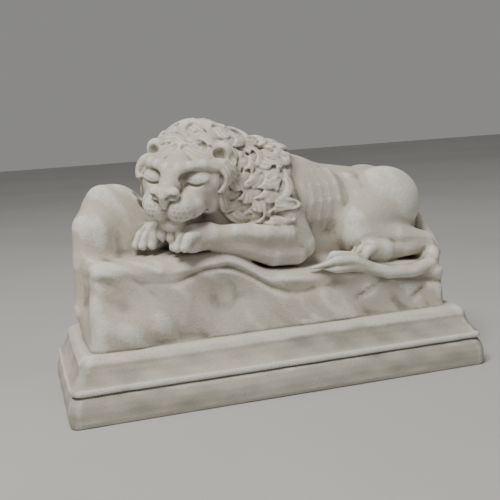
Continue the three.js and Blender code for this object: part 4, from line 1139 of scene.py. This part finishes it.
def aged_plaster():
    """Matte cast plaster, with grime and painted shade in its creases and hollows, dust and painted
    shade in broad hollows, painted shade low on the slab, and rubbed pale on what stands out.
    """
    g = Graph("aged plaster")
    colour = g.mixed(g.span(g.noise(22, 4), 0.38, 0.66), PLASTER, PLASTER_WARM)
    colour = g.mixed(g.span(g.noise(9, 3), 0.45, 0.7), colour, PLASTER_COOL)
    crease, narrow, broad = g.mark("crease"), g.mark("narrow_hollow"), g.mark("broad_hollow")
    patchy = g.span(g.noise(60, 5, 0.65), 0.30, 0.68, 0.45, 1.0)
    # Dust and painted shade: broad hollows are darkened towards the dust colour
    dust_and_shade_in_hollows = g.maths("MULTIPLY", g.span(broad, 0.57, 0.88, 0.0, 0.45), patchy)
    colour = g.mixed(dust_and_shade_in_hollows, colour, DUST_AND_SHADE)
    edges = g.span(crease, -0.03, -0.16, 0.0, 0.8)
    colour = g.mixed(edges, colour, WORN)
    # Grime and painted shade: creases and narrow hollows are darkened towards a near-black olive
    in_creases = g.span(crease, 0.035, 0.18, 0.0, 0.85)
    in_cracks = g.span(narrow, 0.55, 0.74, 0.0, 0.8)
    grime_and_shade = g.maths("MULTIPLY", g.maths("MAXIMUM", in_creases, in_cracks), patchy)
    colour = g.mixed(grime_and_shade, colour, GRIME_AND_SHADE)
    # Painted shade: the slab below its top edge is darkened towards the dust colour
    painted_shade_on_slab = g.span(g.height(), SLAB_HEIGHT * MM, (SLAB_HEIGHT - 2) * MM, 0.0, 0.5)
    colour = g.mixed(g.maths("MULTIPLY", painted_shade_on_slab, patchy), colour, DUST_AND_SHADE)
    colour = g.mixed(g.span(g.noise(1300, 2, 0.6), 0.42, 0.66, 0.0, 0.3), colour, DUST_AND_SHADE)
    specks = g.span(g.noise(420, 2, 0.5), 0.70, 0.78, 0.0, 0.4)
    colour = g.mixed(specks, colour, DUST_AND_SHADE)
    g.put(g.shader.inputs["Base Color"], colour)
    g.put(g.shader.inputs["Roughness"], g.span(g.noise(90, 3), 0.3, 0.7, 0.72, 0.9))
    g.put(g.shader.inputs["Specular IOR Level"], 0.3)
    grain = g.bump(g.noise(1300, 3, 0.65), 0.7, 0.0003)
    pits = g.bump(g.span(g.noise(420, 2, 0.5), 0.24, 0.36), 0.35, 0.0003, grain)
    swell = g.bump(g.noise(130, 4, 0.55), 0.5, 0.0006, pits)
    g.put(g.shader.inputs["Normal"], swell)
    return g.material


def pale_floor():
    g = Graph("pale floor")
    colour = g.mixed(g.span(g.noise(3, 4), 0.35, 0.7), FLOOR, FLOOR_CLOUDED)
    g.put(g.shader.inputs["Base Color"], colour)
    g.put(g.shader.inputs["Roughness"], 0.6)
    return g.material


# Floor, light and camera

CAMERA_PLACE = Vector((-0.11105, -0.37049, 0.12196))
CAMERA_YAW = math.radians(16.089)
CAMERA_PITCH = math.radians(8.905)
CAMERA_ROLL = math.radians(-3.762)
PHOTO_WIDTH = 500
FOCAL_PIXELS = 798.5
SENSOR = 36.0
LIGHT_TARGET = Vector((0, 0, 0.06))


def make_camera():
    ahead = Vector((
        math.sin(CAMERA_YAW) * math.cos(CAMERA_PITCH),
        math.cos(CAMERA_YAW) * math.cos(CAMERA_PITCH),
        -math.sin(CAMERA_PITCH),
    ))
    right = ahead.cross(Vector((0, 0, 1))).normalized()
    up = right.cross(ahead)
    turned_right = right * math.cos(CAMERA_ROLL) + up * math.sin(CAMERA_ROLL)
    turned_up = up * math.cos(CAMERA_ROLL) - right * math.sin(CAMERA_ROLL)
    lens = bpy.data.cameras.new("camera")
    lens.sensor_width = SENSOR
    lens.lens = FOCAL_PIXELS / PHOTO_WIDTH * SENSOR
    lens.clip_start = 0.01
    camera = bpy.data.objects.new("camera", lens)
    place = Matrix((turned_right, turned_up, -ahead)).transposed().to_4x4()
    place.translation = CAMERA_PLACE
    camera.matrix_world = place
    bpy.context.scene.collection.objects.link(camera)
    bpy.context.scene.camera = camera


def soft_light(name, place, size, power, colour):
    lamp = bpy.data.lights.new(name, "AREA")
    lamp.energy = power
    lamp.size = size
    lamp.color = colour
    made = bpy.data.objects.new(name, lamp)
    made.location = place
    aim = LIGHT_TARGET - Vector(place)
    made.rotation_euler = aim.to_track_quat("-Z", "Y").to_euler()
    bpy.context.scene.collection.objects.link(made)


def make_studio():
    bpy.ops.mesh.primitive_plane_add(size=6, location=(0, 0, 0))
    floor = bpy.context.object
    floor.name = "floor"
    floor.data.materials.append(pale_floor())
    soft_light("window", (-0.42, -0.40, 1.00), 0.42, 15, (1.0, 0.98, 0.94))
    soft_light("room", (0.6, -0.9, 0.50), 0.9, 1.0, (0.96, 0.97, 1.0))
    world = bpy.data.worlds.new("room light")
    world.use_nodes = True
    world.node_tree.nodes["Background"].inputs["Color"].default_value = (0.93, 0.92, 0.90, 1)
    world.node_tree.nodes["Background"].inputs["Strength"].default_value = 0.28
    bpy.context.scene.world = world


sculpture = make_sculpture()
sculpture.data.materials.clear()
sculpture.data.materials.append(aged_plaster())
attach(sculpture, "root")
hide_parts("lion_sculpture")

make_studio()
make_camera()
